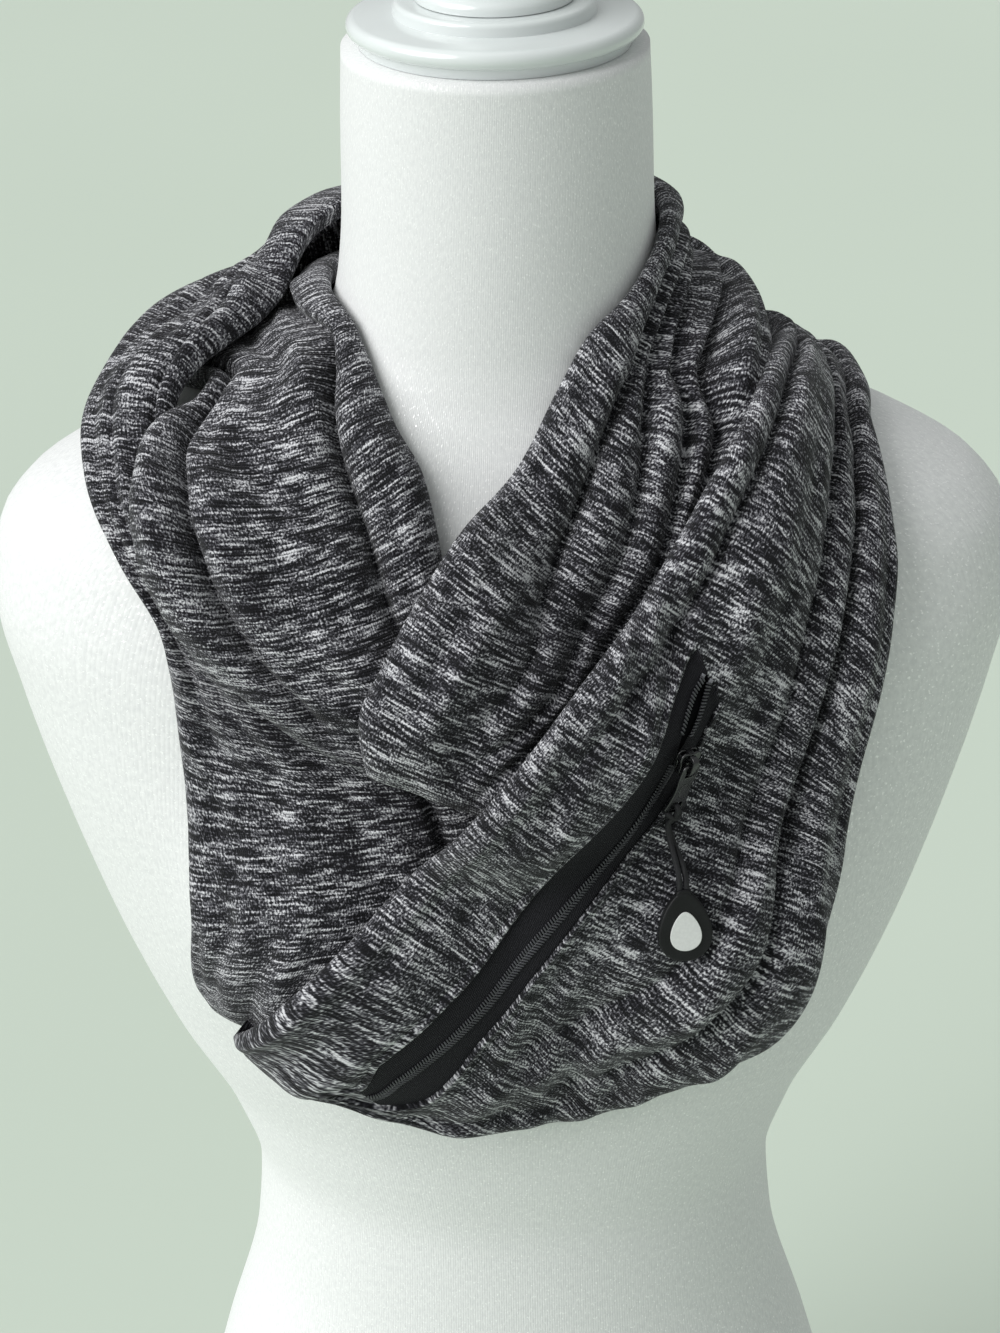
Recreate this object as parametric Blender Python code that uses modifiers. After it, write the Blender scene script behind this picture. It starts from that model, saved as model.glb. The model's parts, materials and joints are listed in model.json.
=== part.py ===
"""A double-wrapped loop scarf with a hidden zip pocket, resting on a limbless dress form.

Metres, +Z up. The origin is the centre of the base plate's underside, and the form's front faces -Y.
The cloth is described on the form itself: a place is an angle round the neck's axis (0 at the front,
+90 at +X) and a drop, the distance down the form from NECK_TOP. The scarf is one loop in two long runs.
Each run is a table of sections, one row per section, with the edges, the height of the rolls and the
valleys between them. A run is cut into the stretches that show, and each is laid on the ones below it.
"""
import bpy
import math
import numpy as np
from mathutils import Matrix, Vector

MM = 0.001
SEAM = 0.3 * MM
WALL = 1.4 * MM
REST = 1.5 * MM
EDGE_RADIUS = 3.6 * MM
TUCK = 8.0 * MM
FULL_ROLL = 28.0 * MM
END_ROWS = 0.45
END_CLOSE = 0.2
CUT_GAP = 0.014

NECK_TOP = 0.760
FORM_TOP = 0.7715
FORM_SIDES = 40
PLATE_HEIGHT = 0.018
CAP_SIDES = 32

# height, half width, front depth, back depth, squareness of the section
FORM = np.array([
    (0.0183, 0.1485, 0.1010, 0.1120, 2.20),
    (0.080, 0.1500, 0.1030, 0.1180, 2.20),
    (0.140, 0.1420, 0.1000, 0.1160, 2.20),
    (0.210, 0.1240, 0.0930, 0.1020, 2.15),
    (0.275, 0.1065, 0.0860, 0.0840, 2.10),
    (0.308, 0.1042, 0.0850, 0.0780, 2.10),
    (0.345, 0.1150, 0.0920, 0.0790, 2.10),
    (0.385, 0.1370, 0.1020, 0.0830, 2.10),
    (0.430, 0.1560, 0.1090, 0.0880, 2.15),
    (0.480, 0.1730, 0.1100, 0.0930, 2.20),
    (0.530, 0.1870, 0.1040, 0.0970, 2.30),
    (0.565, 0.1940, 0.0965, 0.0980, 2.35),
    (0.590, 0.1910, 0.0880, 0.0965, 2.30),
    (0.606, 0.1800, 0.0810, 0.0940, 2.20),
    (0.619, 0.1600, 0.0745, 0.0910, 2.10),
    (0.631, 0.1330, 0.0690, 0.0870, 2.05),
    (0.643, 0.1030, 0.0640, 0.0820, 2.00),
    (0.655, 0.0780, 0.0600, 0.0760, 2.00),
    (0.670, 0.0640, 0.0575, 0.0690, 2.00),
    (0.690, 0.0590, 0.0565, 0.0620, 2.00),
    (0.712, 0.0572, 0.0560, 0.0580, 2.00),
    (0.745, 0.0565, 0.0555, 0.0565, 2.00),
    (0.7715, 0.0555, 0.0555, 0.0555, 2.00),
])
BUST_X = 0.072
BUST_Z = 0.462
BUST_WIDTH = 0.040
BUST_HEIGHT = 0.045
BUST_OUT = 0.030

# Run one: centre rim, right front, round the back of the neck, over the left shoulder, left front.
# inner angle and drop, outer angle and drop, rise inside and outside, how far it lies on what is
# below, then the four valleys across it, and the depth of each
RUN_ONE = np.array([
    (-25, 234, -2, 247, 9, 9, 1.0, .30, .50, .72, .88, .1, .0, .1, .1),
    (-27, 214, 3, 237, 13, 10, 1.0, .45, .60, .78, .92, .1, .1, .3, .3),
    (-24, 196, 11, 222, 14, 12, 1.0, .56, .74, .86, .93, .3, .5, .5, .1),
    (-19, 175, 20, 208, 14, 14, 1.0, .60, .78, .88, .94, .8, .6, .6, .1),
    (-10, 150, 28, 193, 14, 15, 1.0, .51, .74, .88, .94, 1., .7, .7, .1),
    (5, 126, 38, 177, 13, 16, 1.0, .40, .69, .86, .93, 1., .7, .8, .2),
    (19, 99, 47, 161, 11, 18, 1.0, .36, .61, .80, .90, .9, .8, .8, .5),
    (32, 80, 57, 149, 8, 23, 0.9, .33, .47, .70, .85, .8, .8, .9, .9),
    (47, 71, 70, 139, 6, 28, 0.5, .20, .31, .44, .62, .7, .8, .8, .8),
    (65, 60, 88, 127, 5, 31, 0.0, .14, .24, .34, .60, .6, .7, .7, .6),
    (86, 51, 104, 120, 6, 30, 0.0, .15, .26, .40, .64, .5, .6, .6, .6),
    (110, 49, 122, 118, 8, 24, 0.4, .18, .33, .50, .72, .5, .5, .6, .6),
    (140, 50, 146, 126, 10, 14, 1.0, .20, .38, .56, .78, .5, .4, .6, .5),
    (170, 52, 171, 134, 11, 13, 1.0, .22, .42, .60, .80, .5, .3, .6, .4),
    (200, 54, 197, 146, 12, 13, 1.0, .24, .42, .62, .80, .6, .3, .6, .4),
    (226, 57, 221, 158, 13, 17, 1.0, .28, .44, .64, .80, .7, .3, .6, .5),
    (250, 66, 241, 164, 14, 21, 1.0, .34, .48, .66, .82, .8, .3, .5, .5),
    (266, 90, 254, 168, 14, 22, 1.0, .38, .52, .66, .84, .8, .2, .4, .3),
    (276, 120, 263, 175, 13, 18, 1.0, .24, .42, .62, .82, .6, .2, .3, .3),
    (283, 152, 272, 188, 11, 15, 0.5, .18, .38, .60, .80, .7, .1, .3, .2),
    (292, 173, 283, 198, 10, 13, 0.0, .16, .36, .58, .78, .7, .1, .3, .2),
    (301, 190, 294, 206, 9, 11, 0.0, .16, .36, .58, .78, .6, .1, .3, .3),
    (309, 204, 302, 217, 8, 10, 0.0, .30, .50, .66, .80, .3, .2, .2, .6),
    (328, 222, 305, 232, 6, 9, 0.0, .34, .54, .72, .86, .4, .2, .2, .4),
    (348, 238, 307, 257, 5, 10, 0.0, .26, .50, .70, .88, .9, .2, .2, .2),
    (356, 252, 309, 287, 5, 10, 0.0, .27, .50, .72, .88, 1., .3, .2, .2),
    (360, 268, 311, 314, 5, 10, 0.0, .28, .50, .72, .86, .9, .2, .3, .2),
    (359, 286, 309, 343, 5, 9, 0.0, .28, .50, .72, .86, .4, .1, .3, .2),
    (350, 306, 307, 362, 5, 8, 0.0, .28, .50, .72, .86, .1, .0, .2, .1),
], float)
RUN_ONE_VALLEYS = 4
CUT_RIGHT_NECK = 9.5
CUT_LEFT_SHOULDER = 20.0

# Run two: lower left corner, right front with the pocket, right shoulder, low round the back, left
# front. The columns are those of run one, with three valleys.
RUN_TWO = np.array([
    (-47, 341, -42, 369, 9, 9, 1.0, .22, .55, .72, .0, .0, .0),
    (-37, 329, -30, 377, 9, 10, 1.0, .17, .73, .84, .1, .0, .0),
    (-28, 306, -10, 383, 9, 10, 1.0, .13, .74, .86, .0, .1, .1),
    (-20, 278, 8, 384, 10, 11, 1.0, .12, .60, .80, .0, .2, .2),
    (-7, 242, 24, 383, 10, 12, 1.0, .11, .62, .80, .1, .4, .3),
    (5, 217, 35, 377, 10, 13, 1.0, .10, .62, .78, .3, .6, .5),
    (16, 197, 42, 360, 10, 14, 1.0, .10, .61, .74, .6, .7, .7),
    (28, 179, 45, 326, 11, 14, 1.0, .11, .61, .73, .8, .7, .8),
    (38, 162, 51, 300, 12, 15, 1.0, .12, .57, .70, .9, .7, .9),
    (48, 147, 57, 259, 15, 15, 1.0, .13, .54, .69, .9, .7, .9),
    (59, 137, 63, 221, 18, 15, 1.0, .14, .53, .71, .9, .7, .9),
    (74, 130, 70, 193, 23, 14, 1.0, .17, .55, .74, .8, .7, .8),
    (92, 132, 81, 175, 29, 12, 0.5, .20, .55, .76, .6, .6, .7),
    (108, 131, 99, 173, 27, 11, 0.0, .22, .52, .76, .5, .5, .6),
    (124, 131, 121, 181, 20, 12, 0.0, .22, .50, .76, .4, .5, .5),
    (145, 116, 143, 190, 12, 13, 0.0, .24, .50, .76, .3, .5, .5),
    (168, 100, 168, 195, 10, 12, 0.0, .26, .50, .76, .2, .5, .5),
    (194, 92, 193, 197, 10, 12, 0.0, .26, .52, .76, .2, .5, .5),
    (218, 86, 216, 194, 10, 12, 0.0, .26, .54, .76, .2, .5, .5),
    (242, 80, 237, 184, 10, 11, 0.0, .26, .54, .76, .3, .4, .4),
    (266, 76, 253, 172, 10, 10, 0.0, .24, .52, .78, .4, .3, .3),
    (288, 77, 267, 156, 10, 10, 0.0, .18, .52, .80, .6, .2, .3),
    (302, 81, 278, 141, 10, 11, 0.0, .15, .54, .84, .8, .1, .4),
    (309, 88, 286, 147, 11, 12, 0.0, .19, .58, .88, .9, .1, .5),
    (318, 100, 292, 157, 11, 13, 0.2, .25, .60, .88, 1., .1, .3),
    (328, 116, 297, 169, 11, 13, 0.6, .28, .62, .86, 1., .1, .2),
    (337, 130, 301, 182, 11, 13, 1.0, .30, .62, .84, 1., .1, .1),
    (343, 151, 305, 194, 11, 13, 1.0, .29, .62, .82, .9, .2, .1),
    (347, 171, 309, 206, 10, 12, 1.0, .28, .60, .82, .7, .2, .2),
    (354, 195, 315, 218, 9, 11, 1.0, .28, .60, .82, .4, .2, .2),
    (363, 223, 323, 229, 8, 9, 1.0, .28, .60, .82, .2, .1, .1),
    (370, 243, 334, 236, 7, 8, 1.0, .28, .60, .82, .0, .0, .0),
], float)
RUN_TWO_VALLEYS = 3
CUT_RIGHT_SHOULDER = 13.0
CUT_LEFT_NECK = 21.5

# section, left edge of the tape, chain, right edge of the tape, all as fractions across the right front
ZIP = np.array([
    (0.0, .28, .36, .44),
    (1.0, .46, .54, .64),
    (1.5, .50, .59, .70),
    (1.9, .35, .48, .66),
    (2.4, .305, .415, .56),
    (2.9, .285, .385, .48),
    (3.5, .285, .375, .45),
    (4.1, .282, .370, .43),
    (5.0, .268, .352, .392),
    (5.7, .262, .335, .372),
    (6.3, .240, .312, .360),
    (6.9, .200, .278, .330),
    (7.4, .195, .252, .310),
    (10.0, .24, .30, .36),
    (13.0, .32, .38, .44),
])
ZIP_LOWER_END = 1.5
ZIP_UPPER_END = 7.45
SLIDER_SECTION = 6.66
TAPE_LIFT = 1.2 * MM
TAPE_THICKNESS = 0.7 * MM
CHAIN_WIDTH = 4.4 * MM
CHAIN_HEIGHT = 1.5 * MM
TEETH_WIDTH = 2.0 * MM
TEETH_APART = 2.6 * MM

SLIDER_LENGTH = 10.0 * MM
SLIDER_TOP_WIDTH = 9.0 * MM
SLIDER_FOOT_WIDTH = 6.6 * MM
SLIDER_HEIGHT = 3.2 * MM
SLIDER_STAND = 1.0 * MM
BRIDGE_WIDTH = 2.6 * MM
BRIDGE_HALF_LENGTH = 3.9 * MM
BRIDGE_WALL = 0.9 * MM
PIN_HEIGHT = 1.2 * MM
PIN_SLOT = 2.4 * MM
TAB_THICKNESS = 1.3 * MM
TAB_WIDTH = 6.8 * MM
TAB_END_WIDTH = 8.6 * MM
TAB_LENGTH = 22.0 * MM
TAB_RING = 5.1 * MM
TAB_END_PLACE = (6.12, 0.365)
TAB_END_LIFT = 5.0 * MM
EYE_WIDTH = 4.4 * MM
EYE_HEIGHT = 3.4 * MM
CORD_DIAMETER = 2.2 * MM
TAG_LENGTH = 27.0 * MM
TAG_WIDTH = 19.0 * MM
TAG_THICKNESS = 3.6 * MM
TAG_PLACE = (5.58, 0.550)
TAG_FOOT_PLACE = (5.40, 0.600)
TAG_LIFT = 4.0 * MM
BADGE_THICKNESS = 0.5 * MM
BADGE_LENGTH = 15.0 * MM
BADGE_WIDTH = 11.0 * MM


def clear_scene():
    """Remove every object that is there."""
    for item in list(bpy.data.objects):
        bpy.data.objects.remove(item, do_unlink=True)


def material(name, colour, roughness, metallic=0.0):
    """A plain material in the part's colour."""
    made = bpy.data.materials.new(name)
    made.use_nodes = True
    shader = made.node_tree.nodes["Principled BSDF"]
    shader.inputs["Base Color"].default_value = (*colour, 1.0)
    shader.inputs["Roughness"].default_value = roughness
    shader.inputs["Metallic"].default_value = metallic
    return made


def add_mesh(name, points, faces, surface_material, collection):
    """A smooth-shaded object of the given points and faces, linked into the collection."""
    mesh = bpy.data.meshes.new(name)
    mesh.from_pydata([tuple(map(float, point)) for point in points], [], faces)
    mesh.update()
    mesh.shade_smooth()
    made = bpy.data.objects.new(name, mesh)
    mesh.materials.append(surface_material)
    collection.objects.link(made)
    return made


def curve_through(places, values, where):
    """Smooth curve through (places, values) that never overshoots them, read at where."""
    steps = np.diff(places)
    slopes = np.diff(values, axis=0) / steps[:, None]
    tangents = np.zeros_like(values)
    before, after = slopes[:-1], slopes[1:]
    same_way = before * after > 0
    w1 = (2 * steps[1:] + steps[:-1])[:, None]
    w2 = (steps[1:] + 2 * steps[:-1])[:, None]
    safe = np.where(same_way, before * after, 1.0)
    mean = (w1 + w2) * safe / np.where(same_way, w1 * after + w2 * before, 1.0)
    tangents[1:-1] = np.where(same_way, mean, 0.0)
    tangents[0], tangents[-1] = slopes[0], slopes[-1]
    where = np.atleast_1d(np.asarray(where, float))
    index = np.clip(np.searchsorted(places, where) - 1, 0, len(steps) - 1)
    step = steps[index][:, None]
    t = np.clip((where - places[index])[:, None] / step, 0, 1)
    return ((1 + 2 * t) * (1 - t) ** 2 * values[index] + t * (1 - t) ** 2 * step * tangents[index]
            + t * t * (3 - 2 * t) * values[index + 1] + t * t * (t - 1) * step * tangents[index + 1])


def form_radius(angle, height):
    """Horizontal radius of the form at an angle round the neck's axis and a height."""
    width, front, back, square = curve_through(FORM[:, 0], FORM[:, 1:], height).T
    sine, cosine = np.sin(angle), np.cos(angle)
    depth = np.where(cosine > 0, front, back)
    radius = ((np.abs(sine) / width) ** square + (np.abs(cosine) / depth) ** square) ** (-1 / square)
    side = radius * sine
    bust = sum(np.exp(-((side - way * BUST_X) / BUST_WIDTH) ** 2) for way in (-1, 1))
    bust = bust * np.exp(-((height - BUST_Z) / BUST_HEIGHT) ** 2) * np.clip(cosine, 0, 1)
    return radius + BUST_OUT * bust


class FormMap:
    """Places on the form, read by angle and drop."""

    def __init__(self):
        """Measure the drop down the form along each angle."""
        heights = np.linspace(NECK_TOP, 0.25, 260)
        self.angles = np.radians(np.arange(-180, 181, 2.5))
        self.drops = np.linspace(0, 0.50, 201)
        self.radii = np.zeros((len(self.angles), len(self.drops)))
        self.heights = np.zeros_like(self.radii)
        for index, angle in enumerate(self.angles):
            radii = form_radius(np.full_like(heights, angle), heights)
            run = np.concatenate([[0], np.cumsum(np.hypot(np.diff(radii), np.diff(heights)))])
            self.radii[index] = np.interp(self.drops, run, radii)
            self.heights[index] = np.interp(self.drops, run, heights)

    def read(self, grid, angle, drop):
        """Value of a grid at places between its points."""
        turn = (angle + np.pi) % (2 * np.pi) - np.pi
        i = (turn - self.angles[0]) / (self.angles[1] - self.angles[0])
        j = np.clip(drop / self.drops[1], 0, len(self.drops) - 1.001)
        i0 = np.clip(np.floor(i).astype(int), 0, len(self.angles) - 2)
        j0 = np.floor(j).astype(int)
        a, b = i - i0, j - j0
        return ((1 - a) * (1 - b) * grid[i0, j0] + a * (1 - b) * grid[i0 + 1, j0]
                + (1 - a) * b * grid[i0, j0 + 1] + a * b * grid[i0 + 1, j0 + 1])

    def place(self, angle, drop):
        """Point on the form."""
        radius = self.read(self.radii, angle, drop)
        height = self.read(self.heights, angle, drop)
        return np.stack([radius * np.sin(angle), -radius * np.cos(angle), height], -1)

    def outward(self, angle, drop):
        """Direction straight out of the form, smoothed over a fold's width."""
        turn, reach = 0.12, 0.012
        across = self.place(angle + turn, drop) - self.place(angle - turn, drop)
        down = self.place(angle, drop + reach) - self.place(angle, np.maximum(drop - reach, 0))
        out = np.cross(down, across)
        return out / np.linalg.norm(out, axis=-1, keepdims=True)

    def lifted(self, angle, drop, lift):
        """Point above the form."""
        return self.place(angle, drop) + self.outward(angle, drop) * lift[..., None]


class Support:
    """Height of the cloth already laid, on a grid of angle and drop."""

    TURN = math.radians(3.0)
    STEP = 4.0 * MM
    GROW = 2
    SOFT = 2

    def __init__(self):
        """Nothing is laid yet."""
        self.turns = 120
        self.rows = 126
        self.top = np.zeros((self.turns, self.rows))

    def add(self, angle, drop, lift):
        """Raise the map to the cloth at these places."""
        i = np.round((angle % (2 * np.pi)) / self.TURN).astype(int) % self.turns
        j = np.clip(np.round(drop / self.STEP).astype(int), 0, self.rows - 1)
        np.maximum.at(self.top, (i, j), lift)

    def smooth(self):
        """The map grown sideways, then softened, so that it is nowhere below the cloth."""
        grown = self.top.copy()
        for _ in range(self.GROW + self.SOFT):
            wide = np.maximum(grown, np.maximum(np.roll(grown, 1, 0), np.roll(grown, -1, 0)))
            grown = wide.copy()
            grown[:, 1:] = np.maximum(grown[:, 1:], wide[:, :-1])
            grown[:, :-1] = np.maximum(grown[:, :-1], wide[:, 1:])
        for _ in range(self.SOFT):
            grown = (np.roll(grown, 1, 0) + grown + np.roll(grown, -1, 0)) / 3
            padded = np.pad(grown, ((0, 0), (1, 1)), mode="edge")
            grown = (padded[:, 2:] + padded[:, 1:-1] + padded[:, :-2]) / 3
        return grown

    def read(self, grid, angle, drop):
        """Height of a smoothed map between its points."""
        i = (angle % (2 * np.pi)) / self.TURN
        j = np.clip(drop / self.STEP, 0, self.rows - 1.001)
        i0, j0 = np.floor(i).astype(int), np.floor(j).astype(int)
        a, b = i - i0, j - j0
        i0, i1 = i0 % self.turns, (i0 + 1) % self.turns
        return ((1 - a) * (1 - b) * grid[i0, j0] + a * (1 - b) * grid[i1, j0]
                + (1 - a) * b * grid[i0, j0 + 1] + a * b * grid[i1, j0 + 1])


class Run:
    """One long run of the scarf: a table of sections, read anywhere along and across it."""

    def __init__(self, table, valleys, form):
        """Keep the table with its columns named."""
        self.form = form
        self.last = len(table) - 1
        self.table = table
        self.valleys = valleys

    def row(self, along):
        """Edges, rises, share of what is below, valley places and depths at one section."""
        values = curve_through(np.arange(len(self.table), dtype=float), self.table, along)[0]
        edges = np.array([[math.radians(values[0]), values[1] * MM],
                          [math.radians(values[2]), values[3] * MM]])
        rises = values[4:6] * MM
        places = values[7:7 + self.valleys]
        depths = values[7 + self.valleys:]
        return edges, rises, values[6], places, depths

    def heights(self, along, fractions):
        """Height of the rolls across one section, above where the cloth's edge turns under."""
        edges, rises, _, places, depths = self.row(along)
        ends = self.form.place(edges[:, 0], edges[:, 1])
        width = np.linalg.norm(ends[1] - ends[0])
        knots = np.concatenate([[0.0], places, [1.0]])
        middles = (knots[1:] + knots[:-1]) / 2
        wide = np.diff(knots) * width
        crests = (rises[0] + (rises[1] - rises[0]) * middles) * np.clip(np.sqrt(wide / FULL_ROLL), 0.35, 1)
        floors = (1 - depths) * (crests[1:] + crests[:-1]) / 2
        floors = np.concatenate([[0.0], floors, [0.0]])
        deep = np.concatenate([[1.0], depths, [1.0]])
        roll = np.clip(np.searchsorted(knots, fractions, side="right") - 1, 0, len(wide) - 1)
        t = np.clip((fractions - knots[roll]) / (knots[roll + 1] - knots[roll]), 0, 1)
        ground = floors[roll] + (floors[roll + 1] - floors[roll]) * t
        steep = deep[roll] + (deep[roll + 1] - deep[roll]) * t
        arch = np.sin(np.pi * t) ** (1 - 0.5 * steep)
        from_end = min(along, self.last - along) / END_ROWS
        rounding = math.sqrt(max(0.0, 1 - (1 - min(1.0, from_end)) ** 2))
        return (ground + np.maximum(crests[roll] - ground, 0) * arch) * rounding

    def spread(self, along, steps):
        """Fractions across a section, with so many steps in each roll, closer at its sides."""
        _, _, _, places, _ = self.row(along)
        knots = np.concatenate([[0.0], places, [1.0]])
        out = [0.0]
        for start, end, count in zip(knots[:-1], knots[1:], steps):
            for k in range(1, count + 1):
                out.append(start + (end - start) * (1 - math.cos(math.pi * k / count)) / 2)
        return np.array(out)

    def base(self, along, angle, drop, support, ground):
        """Height of what this section lies on."""
        share = self.row(along)[2]
        return REST + share * support.read(ground, angle, drop)

    def section(self, along, across, support, ground):
        """Points of one section, from the tuck under its inner edge to the one under its outer edge."""
        edges, _, _, _, _ = self.row(along)
        ends = self.form.place(edges[:, 0], edges[:, 1])
        width = np.linalg.norm(ends[1] - ends[0])
        high = EDGE_RADIUS + self.heights(along, across)
        turn = math.sin(math.radians(45))
        under = [(TUCK, 0.0), (EDGE_RADIUS, 0.0), (EDGE_RADIUS * (1 - turn), EDGE_RADIUS * (1 - turn))]
        inner = [(reach / width, rise) for reach, rise in under]
        outer = [(1 - reach, rise) for reach, rise in reversed(inner)]
        pairs = inner + list(zip(across, high)) + outer
        fraction = np.array([pair[0] for pair in pairs])
        rise = np.array([pair[1] for pair in pairs])
        angle = edges[0, 0] + (edges[1, 0] - edges[0, 0]) * fraction
        drop = edges[0, 1] + (edges[1, 1] - edges[0, 1]) * fraction
        lift = self.base(along, angle, drop, support, ground) + rise
        return self.form.lifted(angle, drop, lift)

    def top(self, along, fractions, support, ground):
        """Angle, drop and lift of the outer face at fractions across a section."""
        edges, _, _, _, _ = self.row(along)
        angle = edges[0, 0] + (edges[1, 0] - edges[0, 0]) * fractions
        drop = edges[0, 1] + (edges[1, 1] - edges[0, 1]) * fractions
        lift = self.base(along, angle, drop, support, ground) + EDGE_RADIUS + self.heights(along, fractions)
        return angle, drop, lift

    def point(self, along, fraction, support, ground):
        """One point of the outer face."""
        angle, drop, lift = self.top(along, np.array([fraction]), support, ground)
        return self.form.lifted(angle, drop, lift)[0]


def sections_between(run, first, last, step):
    """Places of the sections of a stretch, closer where the run ends in a rounded edge."""
    count = max(2, round((last - first) / step))
    places = list(np.linspace(first, last, count + 1))
    if first == 0:
        places = [0.0, END_CLOSE] + [place for place in places if place > 0.5]
    if last == run.last:
        places = [place for place in places if place < last - 0.5] + [last - END_CLOSE, last]
    return places


def pocket_front_spread(run, along):
    """Fractions across the right front, with points at the edges of the zip's tape and at its chain."""
    _, _, _, valleys, _ = run.row(along)
    left, chain, right = zip_line(along)
    fold = [valleys[0] * (1 - math.cos(math.pi * k / 3)) / 2 for k in range(4)]
    panel = [(valleys[0] + left) / 2, left, chain, right]
    panel += [right + (valleys[1] - right) * k / 4 for k in range(1, 4)]
    rest = [f for start, end, count in ((valleys[1], valleys[2], 3), (valleys[2], 1.0, 4))
            for f in (start + (end - start) * (1 - math.cos(math.pi * k / count)) / 2 for k in range(count))]
    return np.array(fold + panel + rest + [1.0])


def unit(vectors):
    """Vectors of length one."""
    return vectors / np.linalg.norm(vectors, axis=-1, keepdims=True)


def ring_normals(run, along, across, ring, support, ground):
    """Directions out of the cloth along one section, the same on both sides of a cut."""
    near, far = max(0.0, along - 0.06), min(run.last, along + 0.06)
    ahead = (run.section(far, across, support, ground) - run.section(near, across, support, ground))
    sides = unit(np.diff(ring, axis=0))
    first = np.concatenate([sides[:1], sides])
    second = np.concatenate([sides, sides[-1:]])
    return unit(unit(np.cross(first, ahead)) + unit(np.cross(second, ahead)))


def wall_faces(rings):
    """Faces of a walled sheet, whose rings run along one face and back along the other.

    Both faces are split along the same diagonals, so that a twisted wall never passes through itself.
    """
    count = len(rings[0])
    half = count // 2
    faces = []
    for row in range(len(rings) - 1):
        near, far = rings[row], rings[row + 1]
        start = row * count
        for k in range(half - 1):
            forward = np.linalg.norm(near[k] - far[k + 1]) <= np.linalg.norm(near[k + 1] - far[k])
            for first, rising in ((k, forward), (count - 2 - k, not forward)):
                a, b = start + first, start + first + 1
                c, d = b + count, a + count
                faces += [(a, b, c), (a, c, d)] if rising else [(a, b, d), (b, c, d)]
        for k in (half - 1, count - 1):
            a, b = start + k, start + (k + 1) % count
            faces.append((a, b, b + count, a + count))
    last = (len(rings) - 1) * count
    for k in range(half - 1):
        opposite = count - 1 - k
        faces.append((k + 1, k, opposite, opposite - 1))
        faces.append((last + k, last + k + 1, last + opposite - 1, last + opposite))
    return faces


def stretch(name, run, places, spread, support, cloth, collection):
    """One stretch of the scarf: a walled sheet lofted through its sections, and added to the support."""
    ground = support.smooth()
    rings = []
    for along in places:
        across = spread(run, along)
        outer = run.section(along, across, support, ground)
        out = ring_normals(run, along, across, outer, support, ground)
        rings.append(np.concatenate([outer, (outer - out * WALL)[::-1]]))
    add_mesh(name, np.concatenate(rings), wall_faces(rings), cloth, collection)
    fractions = np.linspace(0, 1, 121)
    for along in np.linspace(places[0], places[-1], int((places[-1] - places[0]) * 12)):
        support.add(*run.top(along, fractions, support, ground))
    return ground


def dress_form(fabric, collection):
    """The covered bust, a loft of squared ovals from the base plate to the neck."""
    body, shoulders = np.arange(0.11, 0.58, 0.036), np.arange(0.590, 0.70, 0.0100)
    heights = np.concatenate([[FORM[0, 0], 0.06], body, shoulders, [0.718, FORM_TOP]])
    angles = np.linspace(0, 2 * np.pi, FORM_SIDES, endpoint=False)
    rings = []
    for height in heights:
        radius = form_radius(angles, np.full_like(angles, height))
        level = np.full_like(angles, height)
        rings.append(np.stack([radius * np.sin(angles), -radius * np.cos(angles), level], -1))
    faces = []
    for row in range(len(rings) - 1):
        for k in range(FORM_SIDES):
            a, b = row * FORM_SIDES + k, row * FORM_SIDES + (k + 1) % FORM_SIDES
            faces.append((a, b, b + FORM_SIDES, a + FORM_SIDES))
    last = (len(rings) - 1) * FORM_SIDES
    faces.append(tuple(reversed(range(FORM_SIDES))))
    faces.append(tuple(range(last, last + FORM_SIDES)))
    return add_mesh("dress_form", np.concatenate(rings), faces, fabric, collection)


def turned(name, profile, sides, surface_material, collection):
    """A turned piece: the profile of (radius, height), top to bottom, spun round the Z axis."""
    mesh = bpy.data.meshes.new(name)
    points = [(radius, 0.0, height) for radius, height in profile]
    edges = [(k, k + 1) for k in range(len(points) - 1)]
    mesh.from_pydata(points, edges, [])
    made = bpy.data.objects.new(name, mesh)
    mesh.materials.append(surface_material)
    collection.objects.link(made)
    spin = made.modifiers.new("spin", "SCREW")
    spin.steps = sides
    spin.render_steps = sides
    spin.use_merge_vertices = True
    spin.merge_threshold = 0.0001
    spin.use_smooth_shade = True
    return made


def arc(centre, radius, first, last, count):
    """Points of (radius, height) on an arc, angles in degrees from +X up."""
    return [(centre[0] + radius * math.cos(math.radians(a)), centre[1] + radius * math.sin(math.radians(a)))
            for a in np.linspace(first, last, count)]


def base_plate(paint, collection):
    """The low oval plate that the form stands on."""
    bpy.ops.mesh.primitive_cylinder_add(vertices=CAP_SIDES, radius=1.0, depth=PLATE_HEIGHT,
                                        location=(0, 0, PLATE_HEIGHT / 2))
    made = bpy.context.object
    made.name = "base_plate"
    made.scale = (0.140, 0.104, 1.0)
    bpy.ops.object.transform_apply(location=False, rotation=False, scale=True)
    made.data.materials.append(paint)
    made.data.shade_smooth()
    made.data.set_sharp_from_angle(angle=math.radians(40))
    for other in list(made.users_collection):
        other.objects.unlink(made)
    collection.objects.link(made)
    edge = made.modifiers.new("edge", "BEVEL")
    edge.width = 4 * MM
    edge.segments = 2
    edge.limit_method = "ANGLE"
    return made


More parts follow.
